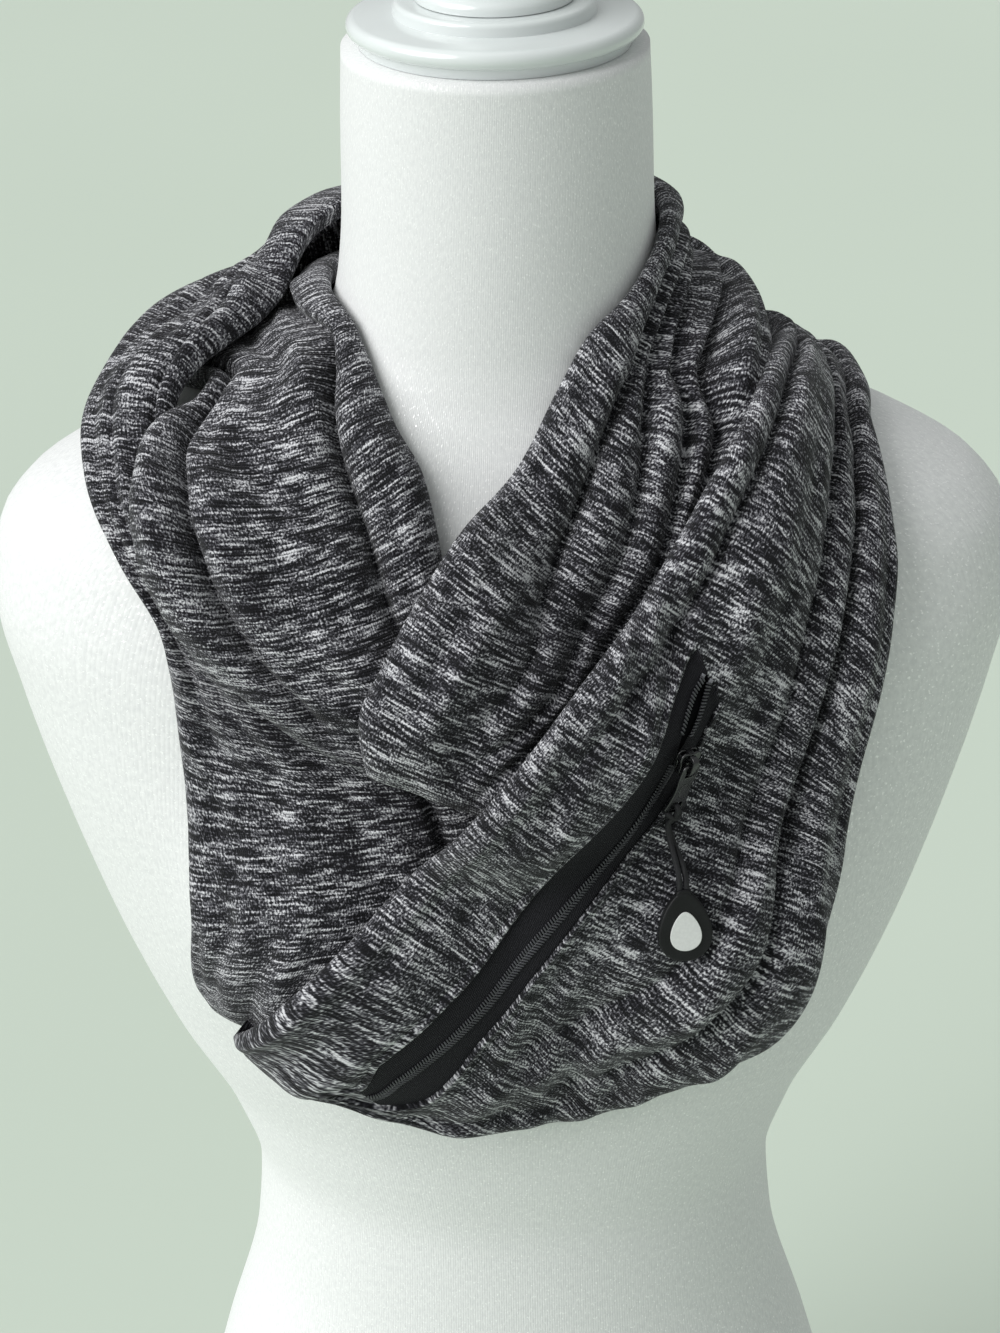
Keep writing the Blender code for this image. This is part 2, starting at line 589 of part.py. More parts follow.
def cap_pieces(paint, collection):
    """The neck's turned cap and the finial above it."""
    rim = 0.0535
    underside = FORM_TOP + SEAM
    cap_top = 0.7880
    cap = [(0.0, cap_top), (0.0340, cap_top)]
    cap += arc((0.0345, cap_top - 0.0020), 0.0020, 75, 0, 3)
    cap += [(0.0368, 0.7832)]
    cap += arc((rim - 0.0035, 0.7790), 0.0035, 80, -80, 5)
    cap += [(0.0490, underside), (0.0, underside)]
    turned("neck_cap", cap, CAP_SIDES, paint, collection)
    foot = cap_top + SEAM
    knob_centre = 0.8240
    knob_radius = 0.0270
    finial = [(0.0, knob_centre + knob_radius)]
    finial += arc((0.0, knob_centre), knob_radius, 70, -48, 6)
    finial += [(0.0170, 0.7980), (0.0270, 0.7930), (0.0290, 0.7905), (0.0285, foot), (0.0, foot)]
    turned("neck_finial", finial, CAP_SIDES, paint, collection)


def tape_points(run, along, rows, support, ground):
    """Left edge, chain and right edge of the tape's line, on the flats between the panel's sections."""
    before = max(row for row in rows if row <= along)
    after = min([row for row in rows if row > along] or [before])
    first, second = (np.array([run.point(row, fraction, support, ground) for fraction in zip_line(row)])
                     for row in (before, after))
    share = (along - before) / (after - before) if after > before else 0.0
    return first + (second - first) * share


def zip_strip(name, line, places, reach, lift, thickness, surface_material, collection):
    """A strip along the zip: line gives the tape's points, and reach the strip's places from the chain."""
    rings = []
    for along in places:
        tape = line(along)
        ahead = line(along + 0.08)
        out = unit(np.cross(tape[2] - tape[0], ahead[1] - tape[1]))
        left, right = unit(tape[0] - tape[1]), unit(tape[2] - tape[1])
        spots = np.array([tape[1] + (right if away > 0 else left) * abs(away) for away in reach(along, tape)])
        rings.append(np.concatenate([spots + out * lift, spots[::-1] + out * (lift + thickness)]))
    faces = [tuple(reversed(face)) for face in wall_faces(rings)]
    return add_mesh(name, np.concatenate(rings), faces, surface_material, collection)


def zip_line(along):
    """Fractions of the tape's left edge, the chain and the tape's right edge."""
    return curve_through(ZIP[:, 0], ZIP[:, 1:], along)[0]


def outline_piece(name, outlines, thickness, frame, surface_material, collection):
    """A flat piece cut to an outline, with any further outlines as holes, set in a frame."""
    curve = bpy.data.curves.new(name, "CURVE")
    curve.dimensions = "2D"
    curve.fill_mode = "BOTH"
    curve.extrude = thickness / 2
    curve.resolution_u = 1
    for outline in outlines:
        spline = curve.splines.new("POLY")
        spline.points.add(len(outline) - 1)
        for point, (x, y) in zip(spline.points, outline):
            point.co = (x, y, 0.0, 1.0)
        spline.use_cyclic_u = True
    made = bpy.data.objects.new(name, curve)
    curve.materials.append(surface_material)
    made.matrix_world = frame
    collection.objects.link(made)
    return made


def box_outline(left, right, bottom, top):
    """A rectangle's corners."""
    return [(left, bottom), (right, bottom), (right, top), (left, top)]


def egg_outline(length, width, count):
    """An egg: round below, narrower above, its length along Y and its middle at the origin."""
    points = []
    for k in range(count):
        turn = 2 * math.pi * k / count
        y = -math.cos(turn)
        points.append((width / 2 * math.sin(turn) * (1 - 0.22 * y), length / 2 * y))
    return points


def frame_at(origin, down, out):
    """A frame with Y pointing up a hanging piece, Z out of the cloth and X across."""
    z = Vector(out).normalized()
    y = -(Vector(down) - Vector(down).dot(z) * z).normalized()
    x = y.cross(z)
    made = Matrix((x, y, z)).transposed().to_4x4()
    made.translation = Vector(origin)
    return made


def smooth_route(points, count):
    """Places along a smooth curve through hand-chosen points."""
    points = np.array(points)
    runs = np.concatenate([[0], np.cumsum(np.linalg.norm(np.diff(points, axis=0), axis=1))])
    return curve_through(runs, points, np.linspace(0, runs[-1], count))


def cord_piece(name, route, diameter, surface_material, collection):
    """A round cord along a route of points."""
    curve = bpy.data.curves.new(name, "CURVE")
    curve.dimensions = "3D"
    curve.bevel_depth = diameter / 2
    curve.bevel_resolution = 2
    curve.use_fill_caps = True
    spline = curve.splines.new("POLY")
    spline.points.add(len(route) - 1)
    for point, place in zip(spline.points, route):
        point.co = (*place, 1.0)
    made = bpy.data.objects.new(name, curve)
    curve.materials.append(surface_material)
    collection.objects.link(made)
    return made


def surface_frame(run, along, fraction, ahead, support, ground, lift):
    """A frame above the outer face at a place, its Y axis pointing away from the place ahead."""
    here = run.point(along, fraction, support, ground)
    there = run.point(*ahead, support, ground)
    right, left = (run.point(along, fraction + way * 0.06, support, ground) for way in (1, -1))
    before, after = (run.point(along + way * 0.3, fraction, support, ground) for way in (-1, 1))
    out = np.cross(before - after, right - left)
    out /= np.linalg.norm(out)
    return frame_at(here + out * lift, there - here, out)


def zip_pieces(run, rows, support, ground, black, metal, rubber, white, collection):
    """The zip on the right front: tapes, chain, open teeth, slider, bridge and the hanging pull."""
    tape_rows = [along for along in rows if ZIP_LOWER_END - 0.01 <= along <= ZIP_UPPER_END + 0.01]
    chain_lift = TAPE_LIFT + TAPE_THICKNESS + 1.5 * SEAM

    def teeth_away(along):
        """How far one open row of teeth is from the middle, which it leaves and comes back to."""
        share = (along - SLIDER_SECTION) / (ZIP_UPPER_END - SLIDER_SECTION)
        return TEETH_WIDTH + TEETH_APART * math.sin(math.pi * min(1, max(0, share)) ** 0.8)

    def tape_reach(along, tape):
        """The tape's edges, and lines under the edges of the chain or the teeth."""
        held = teeth_away(along) + TEETH_WIDTH / 2 if along > SLIDER_SECTION else CHAIN_WIDTH / 2
        return -np.linalg.norm(tape[0] - tape[1]), -held, 0.0, held, np.linalg.norm(tape[2] - tape[1])

    def chain_reach(*_):
        """The closed chain's edges."""
        return -CHAIN_WIDTH / 2, 0.0, CHAIN_WIDTH / 2

    def teeth_reach(along, way):
        """One open row of teeth."""
        away = way * teeth_away(along)
        return away - TEETH_WIDTH / 2, away + TEETH_WIDTH / 2

    def line(along):
        """The tape's edges and the chain, on the panel."""
        return tape_points(run, along, rows, support, ground)

    zip_strip("zip_tape", line, tape_rows, tape_reach, TAPE_LIFT, TAPE_THICKNESS, black, collection)
    left, chain, right = line(SLIDER_SECTION)
    before, after = (line(SLIDER_SECTION + way * 0.15)[1] for way in (-1, 1))
    out = unit(np.cross(right - left, after - before))
    tab_end = run.point(*TAB_END_PLACE, support, ground) + out * TAB_END_LIFT
    slider = frame_at(chain + out * (chain_lift + SLIDER_STAND + SLIDER_HEIGHT / 2), tab_end - chain, out)
    section_length = np.linalg.norm(line(SLIDER_SECTION + 0.5)[1] - line(SLIDER_SECTION - 0.5)[1])
    reach = (SLIDER_LENGTH / 2 + 1.5 * MM) / section_length
    lower = [along for along in tape_rows if along < SLIDER_SECTION - reach - 0.05] + [SLIDER_SECTION - reach]
    start = SLIDER_SECTION + 1.25 * reach
    upper = [start] + [along for along in tape_rows if start + 0.05 < along < ZIP_UPPER_END - 0.1]
    upper += [ZIP_UPPER_END - 0.06]
    zip_strip("zip_chain", line, lower, chain_reach, chain_lift, CHAIN_HEIGHT, black, collection)
    for name, way in (("zip_teeth_left", -1), ("zip_teeth_right", 1)):
        zip_strip(name, line, upper, lambda along, _, way=way: teeth_reach(along, way), chain_lift,
                  CHAIN_HEIGHT, black, collection)

    top, foot, half = SLIDER_TOP_WIDTH / 2, SLIDER_FOOT_WIDTH / 2, SLIDER_LENGTH / 2
    body = [(-foot, -half), (foot, -half), (foot * 1.08, 0), (top, half * 0.35), (top, half * 0.75),
            (top * 0.7, half), (-top * 0.7, half), (-top, half * 0.75), (-top, half * 0.35), (-foot * 1.08, 0)]
    outline_piece("zip_slider", [body], SLIDER_HEIGHT, slider, metal, collection)

    pin = slider @ Matrix.Translation((0, 0, SLIDER_HEIGHT / 2 + SEAM + PIN_HEIGHT))
    low, high = -PIN_HEIGHT, PIN_SLOT - PIN_HEIGHT
    long, slot = BRIDGE_HALF_LENGTH, BRIDGE_HALF_LENGTH - 1.7 * MM
    arch = [(low, -long), (high - 0.4 * MM, -long), (high + BRIDGE_WALL, -long * 0.6),
            (high + BRIDGE_WALL, long * 0.6), (high - 0.4 * MM, long), (low, long),
            (low, slot), (high, slot), (high, -slot), (low, -slot)]
    side = pin @ Matrix.Rotation(math.radians(-90), 4, "Y")
    outline_piece("slider_bridge", [arch], BRIDGE_WIDTH, side, metal, collection)

    tab_down = Vector(tab_end) - pin.translation
    across_pin = pin.to_3x3() @ Vector((1, 0, 0))
    tab_down -= tab_down.dot(across_pin) * across_pin
    tab = frame_at(pin.translation, tab_down, tab_down.cross(across_pin))
    bar = TAB_THICKNESS / 2
    side_out, end_out = TAB_WIDTH / 2, TAB_END_WIDTH / 2
    plate = [(-side_out, bar), (-side_out, -TAB_RING - 0.6 * MM), (-side_out * 0.78, -TAB_LENGTH * 0.5),
             (-end_out * 0.8, -TAB_LENGTH * 0.82), (-end_out, -TAB_LENGTH * 0.92), (-end_out * 0.7, -TAB_LENGTH),
             (end_out * 0.7, -TAB_LENGTH), (end_out, -TAB_LENGTH * 0.92), (end_out * 0.8, -TAB_LENGTH * 0.82),
             (side_out * 0.78, -TAB_LENGTH * 0.5), (side_out, -TAB_RING - 0.6 * MM), (side_out, bar)]
    ring = box_outline(-BRIDGE_WIDTH / 2 - 0.4 * MM, BRIDGE_WIDTH / 2 + 0.4 * MM, -TAB_RING, -bar)
    eye = box_outline(-EYE_WIDTH / 2, EYE_WIDTH / 2, -TAB_LENGTH + 1.2 * MM, -TAB_LENGTH + 1.2 * MM + EYE_HEIGHT)
    pull = [outline_piece("pull_tab", [plate, ring, eye], TAB_THICKNESS, tab, metal, collection)]

    tag = surface_frame(run, *TAG_PLACE, TAG_FOOT_PLACE, support, ground, TAG_LIFT)
    pull.append(outline_piece("pull_tag", [egg_outline(TAG_LENGTH, TAG_WIDTH, 20)], TAG_THICKNESS, tag, rubber,
                              collection))
    badge = tag @ Matrix.Translation((0, -1.5 * MM, TAG_THICKNESS / 2 + SEAM + BADGE_THICKNESS / 2))
    pull.append(outline_piece("tag_badge", [egg_outline(BADGE_LENGTH, BADGE_WIDTH, 16)], BADGE_THICKNESS, badge,
                              white, collection))

    eye_middle = -TAB_LENGTH + 1.2 * MM + EYE_HEIGHT / 2
    over = bar + CORD_DIAMETER / 2 + SEAM
    bend = CORD_DIAMETER * 0.5
    top_of_tag = TAG_LENGTH / 2 + SEAM
    hold = CORD_DIAMETER / 2 + 0.15 * MM
    above = [(-0.9 * MM, eye_middle - 9 * MM, over * 0.6), (0.0, eye_middle - 3.4 * MM, over),
             (0.0, eye_middle - bend, over + 0.2 * MM), (0.0, eye_middle + 0.1 * MM, over * 0.55)]
    below = [(-x, y, -z) for x, y, z in reversed(above)]
    through = [(0.0, eye_middle + 0.3 * MM, 0.0)]
    route = [tag @ Vector((-hold, top_of_tag, 0)), tag @ Vector((-hold, top_of_tag + 3 * MM, 0.2 * MM))]
    route += [tab @ Vector(place) for place in above + through + below]
    route += [tag @ Vector((hold, top_of_tag + 3 * MM, -0.2 * MM)), tag @ Vector((hold, top_of_tag, 0))]
    pull.append(cord_piece("pull_cord", smooth_route(route, 48), CORD_DIAMETER, black, collection))

    pivot = bpy.data.objects.new("pull_tab_pivot", None)
    pivot.empty_display_size = TAB_LENGTH
    pivot.matrix_world = pin
    collection.objects.link(pivot)
    for piece in pull:
        piece.parent = pivot
        piece.matrix_parent_inverse = pin.inverted()


def main():
    """Build every piece of the part."""
    clear_scene()
    collection = bpy.data.collections.new("loop_scarf_on_dress_form")
    bpy.context.scene.collection.children.link(collection)
    jersey = material("heather_jersey", (0.085, 0.085, 0.095), 0.95)
    shimmer = material("shimmer_cover", (0.80, 0.80, 0.80), 0.55)
    paint = material("gloss_white", (0.86, 0.87, 0.87), 0.18)
    black = material("black_tape", (0.012, 0.012, 0.014), 0.75)
    metal = material("black_metal", (0.02, 0.02, 0.022), 0.3, 0.6)
    rubber = material("black_rubber", (0.015, 0.015, 0.017), 0.55)
    white = material("white_inlay", (0.85, 0.85, 0.85), 0.5)

    form = FormMap()
    support = Support()
    one = Run(RUN_ONE, RUN_ONE_VALLEYS, form)
    two = Run(RUN_TWO, RUN_TWO_VALLEYS, form)

    dress_form(shimmer, collection)
    base_plate(paint, collection)
    cap_pieces(paint, collection)

    # name, run, first and last section, rows between sections, points across each roll: the order of laying
    stretches = [
        ("outer_left", one, CUT_LEFT_SHOULDER + CUT_GAP, one.last, 0.6, (3, 3, 3, 3, 3)),
        ("inner_left", two, CUT_LEFT_NECK + 2 * CUT_GAP, two.last, 0.7, (3, 4, 4, 3)),
        ("back_lower", two, CUT_RIGHT_SHOULDER + CUT_GAP, CUT_LEFT_NECK - 2 * CUT_GAP, 0.5, (3, 4, 4, 3)),
        ("inner_right", one, 0, CUT_RIGHT_NECK - CUT_GAP, 0.55, (3, 3, 3, 3, 3)),
        ("back_upper", one, CUT_RIGHT_NECK + CUT_GAP, CUT_LEFT_SHOULDER - CUT_GAP, 0.5, (3, 3, 3, 3, 3)),
    ]
    for name, run, first, last, step, steps in stretches:
        places = sections_between(run, first, last, step)
        stretch(name, run, places, lambda run, along, steps=steps: run.spread(along, steps), support, jersey,
                collection)
    rows = sections_between(two, 0, CUT_RIGHT_SHOULDER - CUT_GAP, 0.6)
    close_rows = [SLIDER_SECTION + step for step in (-0.3, 0.0, 0.16, 0.34, 0.56)] + [ZIP_UPPER_END]
    rows = sorted([row for row in rows if not close_rows[0] - 0.3 < row < close_rows[-1] + 0.3] + close_rows)
    ground = stretch("outer_right", two, rows, pocket_front_spread, support, jersey, collection)
    zip_pieces(two, rows, support, ground, black, metal, rubber, white, collection)


main()
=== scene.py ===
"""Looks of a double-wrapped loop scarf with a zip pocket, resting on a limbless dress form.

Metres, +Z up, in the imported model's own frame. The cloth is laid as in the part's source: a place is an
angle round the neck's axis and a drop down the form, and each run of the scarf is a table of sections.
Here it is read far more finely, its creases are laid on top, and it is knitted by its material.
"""

import json
import logging
import math
from dataclasses import dataclass, field
from enum import Enum
from typing import Callable, Sequence

import bpy
import numpy as np
from mathutils import Matrix, Vector

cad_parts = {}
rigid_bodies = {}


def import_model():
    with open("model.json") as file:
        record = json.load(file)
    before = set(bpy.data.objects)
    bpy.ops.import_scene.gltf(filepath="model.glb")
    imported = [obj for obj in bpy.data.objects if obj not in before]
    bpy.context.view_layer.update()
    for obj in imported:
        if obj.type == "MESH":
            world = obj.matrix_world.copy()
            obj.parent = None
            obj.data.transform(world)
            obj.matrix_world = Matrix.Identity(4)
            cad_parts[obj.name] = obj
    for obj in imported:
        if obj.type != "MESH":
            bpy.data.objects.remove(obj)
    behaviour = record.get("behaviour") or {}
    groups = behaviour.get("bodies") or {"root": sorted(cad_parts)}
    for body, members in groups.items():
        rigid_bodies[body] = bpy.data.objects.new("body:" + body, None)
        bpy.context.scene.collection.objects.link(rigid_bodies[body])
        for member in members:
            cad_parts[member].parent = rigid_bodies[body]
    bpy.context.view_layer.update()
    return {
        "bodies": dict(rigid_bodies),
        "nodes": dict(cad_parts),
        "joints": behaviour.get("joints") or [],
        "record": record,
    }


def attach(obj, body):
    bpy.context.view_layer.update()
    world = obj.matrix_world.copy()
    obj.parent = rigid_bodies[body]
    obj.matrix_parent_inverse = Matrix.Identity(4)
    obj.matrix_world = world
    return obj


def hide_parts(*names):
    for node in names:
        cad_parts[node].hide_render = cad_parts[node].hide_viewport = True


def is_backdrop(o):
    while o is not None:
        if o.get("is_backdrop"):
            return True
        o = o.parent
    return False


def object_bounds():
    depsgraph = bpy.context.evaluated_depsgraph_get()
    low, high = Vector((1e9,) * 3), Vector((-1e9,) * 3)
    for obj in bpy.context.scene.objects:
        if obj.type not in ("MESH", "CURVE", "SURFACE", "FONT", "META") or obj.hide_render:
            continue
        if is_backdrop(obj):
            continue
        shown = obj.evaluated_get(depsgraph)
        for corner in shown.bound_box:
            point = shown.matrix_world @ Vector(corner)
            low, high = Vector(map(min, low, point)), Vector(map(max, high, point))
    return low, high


LOG = logging.getLogger("scarf")
MM = 0.001

BODY = "form_and_scarf"
PULL_BODY = "pull"

# A cloth edge's radius, its height off what is below, how far it is turned under, the width from which a
# roll has its full height, and the sections over which a run's end comes down
EDGE_RADIUS = 3.6 * MM
REST = 1.5 * MM
TUCK = 8.0 * MM
FULL_ROLL = 28.0 * MM
END_ROWS = 0.45
# Where drops are measured from, and where the form ends
NECK_TOP = 0.760
FORM_TOP = 0.7715

# The form: height, half width, front depth, back depth, squareness of the section
FORM = np.array([
    (0.0183, 0.1485, 0.1010, 0.1120, 2.20),
    (0.080, 0.1500, 0.1030, 0.1180, 2.20),
    (0.140, 0.1420, 0.1000, 0.1160, 2.20),
    (0.210, 0.1240, 0.0930, 0.1020, 2.15),
    (0.275, 0.1065, 0.0860, 0.0840, 2.10),
    (0.308, 0.1042, 0.0850, 0.0780, 2.10),
    (0.345, 0.1150, 0.0920, 0.0790, 2.10),
    (0.385, 0.1370, 0.1020, 0.0830, 2.10),
    (0.430, 0.1560, 0.1090, 0.0880, 2.15),
    (0.480, 0.1730, 0.1100, 0.0930, 2.20),
    (0.530, 0.1870, 0.1040, 0.0970, 2.30),
    (0.565, 0.1940, 0.0965, 0.0980, 2.35),
    (0.590, 0.1910, 0.0880, 0.0965, 2.30),
    (0.606, 0.1800, 0.0810, 0.0940, 2.20),
    (0.619, 0.1600, 0.0745, 0.0910, 2.10),
    (0.631, 0.1330, 0.0690, 0.0870, 2.05),
    (0.643, 0.1030, 0.0640, 0.0820, 2.00),
    (0.655, 0.0780, 0.0600, 0.0760, 2.00),
    (0.670, 0.0640, 0.0575, 0.0690, 2.00),
    (0.690, 0.0590, 0.0565, 0.0620, 2.00),
    (0.712, 0.0572, 0.0560, 0.0580, 2.00),
    (0.745, 0.0565, 0.0555, 0.0565, 2.00),
    (0.7715, 0.0555, 0.0555, 0.0555, 2.00),
])
BUST_X, BUST_Z, BUST_WIDTH, BUST_HEIGHT, BUST_OUT = 0.072, 0.462, 0.040, 0.045, 0.030

# The line where two rolls press together
GATHER_DEPTH = 3.4 * MM
GATHER_WIDTH = 2.7 * MM
# Up to the blend's section the front run's streaks cross the form at a slope, and then they follow the run
STREAK_SLOPE = math.radians(27)
STREAK_BLEND = 9.0
STREAK_FADE = 0.7
STREAK_RADIUS = 0.165
# Passes of softening, along and across: what a run lies on, its face, and the face about the soft section
GROUND_PASSES = (14, 14)
FACE_PASSES = (3, 2)
SOFT_PASSES = (10, 40)
SOFT_SECTION, SOFT_SECTIONS, SOFT_SHARE = 9.9, 1.9, 0.8
# Low waves on the cloth: how many, and the size of one whose width is the unit
RIPPLES = 22
RIPPLE_SIZE = 0.11 * MM
RIPPLE_UNIT = 0.016

# Run one: centre rim, right front, round the back of the neck, over the left shoulder, left front.
# inner angle and drop, outer angle and drop, rise inside and outside, how far it lies on what is
# below, then the four valleys across it, and the depth of each
RUN_ONE = np.array([
    (-25, 234, -2, 247, 9, 9, 1.0, .30, .50, .72, .88, .1, .0, .1, .1),
    (-27, 214, 3, 237, 13, 10, 1.0, .45, .60, .78, .92, .1, .1, .3, .3),
    (-24, 196, 11, 222, 14, 12, 1.0, .56, .74, .86, .93, .3, .5, .5, .1),
    (-19, 175, 20, 208, 14, 14, 1.0, .60, .78, .88, .94, .8, .6, .6, .1),
    (-10, 150, 28, 193, 14, 15, 1.0, .51, .74, .88, .94, 1., .7, .7, .1),
    (5, 126, 38, 177, 13, 16, 1.0, .40, .69, .86, .93, 1., .7, .8, .2),
    (19, 99, 47, 161, 11, 18, 1.0, .36, .61, .80, .90, .9, .8, .8, .5),
    (32, 80, 57, 149, 8, 23, 0.9, .33, .47, .70, .85, .8, .8, .9, .9),
    (47, 71, 70, 139, 6, 28, 0.5, .20, .31, .44, .62, .7, .8, .8, .8),
    (65, 60, 88, 127, 5, 31, 0.0, .14, .24, .34, .60, .6, .7, .7, .6),
    (86, 51, 104, 120, 6, 30, 0.0, .15, .26, .40, .64, .5, .6, .6, .6),
    (110, 49, 122, 118, 8, 24, 0.4, .18, .33, .50, .72, .5, .5, .6, .6),
    (140, 50, 146, 126, 10, 14, 1.0, .20, .38, .56, .78, .5, .4, .6, .5),
    (170, 52, 171, 134, 11, 13, 1.0, .22, .42, .60, .80, .5, .3, .6, .4),
    (200, 54, 197, 146, 12, 13, 1.0, .24, .42, .62, .80, .6, .3, .6, .4),
    (226, 57, 221, 158, 13, 17, 1.0, .28, .44, .64, .80, .7, .3, .6, .5),
    (250, 66, 241, 164, 14, 18, 1.0, .34, .48, .66, .82, .8, .3, .5, .5),
    (266, 90, 254, 168, 14, 17, 1.0, .38, .52, .66, .84, .8, .2, .4, .3),
    (276, 120, 263, 175, 13, 13, 1.0, .24, .42, .62, .82, .6, .2, .3, .3),
    (283, 152, 272, 188, 11, 12, 0.5, .18, .38, .60, .80, .7, .1, .3, .2),
    (292, 173, 283, 198, 10, 13, 0.0, .16, .36, .58, .78, .7, .1, .3, .2),
    (301, 190, 294, 206, 9, 11, 0.0, .16, .36, .58, .78, .6, .1, .3, .3),
    (309, 204, 302, 217, 8, 10, 0.0, .30, .50, .66, .80, .3, .2, .2, .6),
    (333, 221, 305, 232, 6, 9, 0.0, .34, .54, .72, .86, .4, .2, .2, .4),
    (355, 237, 307, 257, 5, 10, 0.0, .26, .50, .70, .88, .9, .2, .2, .2),
    (361, 251, 309, 287, 5, 10, 0.0, .27, .50, .72, .88, 1., .3, .2, .2),
    (364, 268, 311, 314, 5, 10, 0.0, .28, .50, .72, .86, .9, .2, .3, .2),
    (357, 304, 309, 336, 5, 9, 0.0, .28, .50, .72, .86, .4, .1, .3, .2),
    (341, 380, 308, 351, 5, 9, 0.0, .28, .50, .72, .86, .1, .0, .2, .1),
], float)
CUT_RIGHT_NECK = 9.5
CUT_LEFT_SHOULDER = 20.0

# Run two: lower left corner, right front with the pocket, right shoulder, low round the back, left
# front. The columns are those of run one, with three valleys.
RUN_TWO = np.array([
    (-41, 345, -38, 372, 7, 7, 1.0, .22, .55, .72, .0, .0, .0),
    (-36, 332, -29, 377, 9, 10, 1.0, .17, .73, .84, .1, .0, .0),
    (-28, 306, -10, 383, 9, 10, 1.0, .13, .74, .86, .0, .1, .1),
    (-20, 278, 8, 384, 10, 11, 1.0, .12, .60, .80, .0, .2, .2),
    (-7, 242, 24, 383, 10, 12, 1.0, .11, .62, .80, .1, .4, .3),
    (5, 217, 35, 377, 10, 13, 1.0, .10, .62, .78, .3, .6, .5),
    (16, 197, 42, 360, 10, 14, 1.0, .10, .61, .74, .6, .7, .7),
    (28, 179, 45, 326, 11, 14, 1.0, .11, .61, .73, .8, .7, .8),
    (38, 162, 51, 300, 12, 15, 1.0, .12, .57, .70, .9, .7, .9),
    (48, 147, 57, 259, 13, 14, 0.9, .13, .54, .69, .9, .7, .9),
    (59, 137, 63, 221, 12, 12, 0.7, .14, .53, .71, .9, .7, .9),
    (74, 130, 70, 193, 12, 10, 0.45, .17, .55, .74, .8, .7, .8),
    (92, 132, 81, 175, 15, 9, 0.2, .20, .55, .76, .6, .6, .7),
    (108, 131, 99, 173, 17, 9, 0.0, .22, .52, .76, .5, .5, .6),
    (124, 131, 121, 181, 16, 11, 0.0, .22, .50, .76, .4, .5, .5),
    (145, 116, 143, 190, 12, 13, 0.0, .24, .50, .76, .3, .5, .5),
    (168, 100, 168, 195, 10, 12, 0.0, .26, .50, .76, .2, .5, .5),
    (194, 92, 193, 197, 10, 12, 0.0, .26, .52, .76, .2, .5, .5),
    (218, 86, 216, 194, 10, 12, 0.0, .26, .54, .76, .2, .5, .5),
    (242, 80, 237, 184, 10, 11, 0.0, .26, .54, .76, .3, .4, .4),
    (266, 76, 253, 172, 10, 10, 0.0, .24, .52, .78, .4, .3, .3),
    (288, 77, 267, 156, 10, 10, 0.0, .18, .52, .80, .6, .2, .3),
    (302, 81, 276, 143, 10, 11, 0.0, .15, .54, .84, .8, .1, .8),
    (309, 88, 283, 152, 11, 14, 0.2, .19, .58, .86, .9, .1, .9),
    (318, 100, 286, 167, 11, 17, 0.6, .25, .60, .84, 1., .1, 1.),
    (328, 116, 291, 181, 11, 19, 0.9, .28, .62, .83, 1., .1, 1.),
    (337, 130, 296, 194, 11, 20, 1.0, .30, .62, .82, 1., .1, .95),
    (343, 151, 301, 204, 11, 20, 1.0, .29, .62, .81, .9, .2, .9),
    (347, 171, 306, 212, 10, 19, 1.0, .28, .60, .79, .7, .2, .7),
    (354, 195, 315, 220, 9, 17, 1.0, .28, .60, .79, .4, .2, .5),
    (363, 223, 323, 229, 8, 9, 1.0, .28, .60, .82, .2, .1, .1),
    (370, 243, 334, 236, 7, 8, 1.0, .28, .60, .82, .0, .0, .0),
], float)
CUT_RIGHT_SHOULDER = 13.0
CUT_LEFT_NECK = 21.5

# section, left edge of the tape, chain, right edge of the tape, all as fractions across the right front
ZIP = np.array([
    (0.0, .28, .36, .44),
    (1.0, .46, .54, .64),
    (1.5, .50, .59, .70),
    (1.9, .35, .48, .66),
    (2.4, .305, .415, .56),
    (2.9, .285, .385, .48),
    (3.5, .285, .375, .45),
    (4.1, .282, .370, .43),
    (5.0, .268, .352, .392),
    (5.7, .262, .335, .372),
    (6.3, .240, .312, .368),
    (6.9, .196, .270, .345),
    (7.4, .178, .248, .326),
    (10.0, .22, .29, .37),
    (13.0, .32, .38, .44),
])
ZIP_LOWER_END = 1.5
ZIP_UPPER_END = 7.45
SLIDER_SECTION = 6.66
# Sections by which the slit runs on past the zip's ends, and over which its ends are rounded
SLIT_BELOW, SLIT_ABOVE = 0.35, 0.01
SLIT_FOOT, SLIT_HEAD = 0.30, 0.10
# Up to this section the front run has finer rows for the slit
ZIP_FINE_END = 8.0
CALM_REACH = 9.0 * MM
CALM_SHARE = 0.93
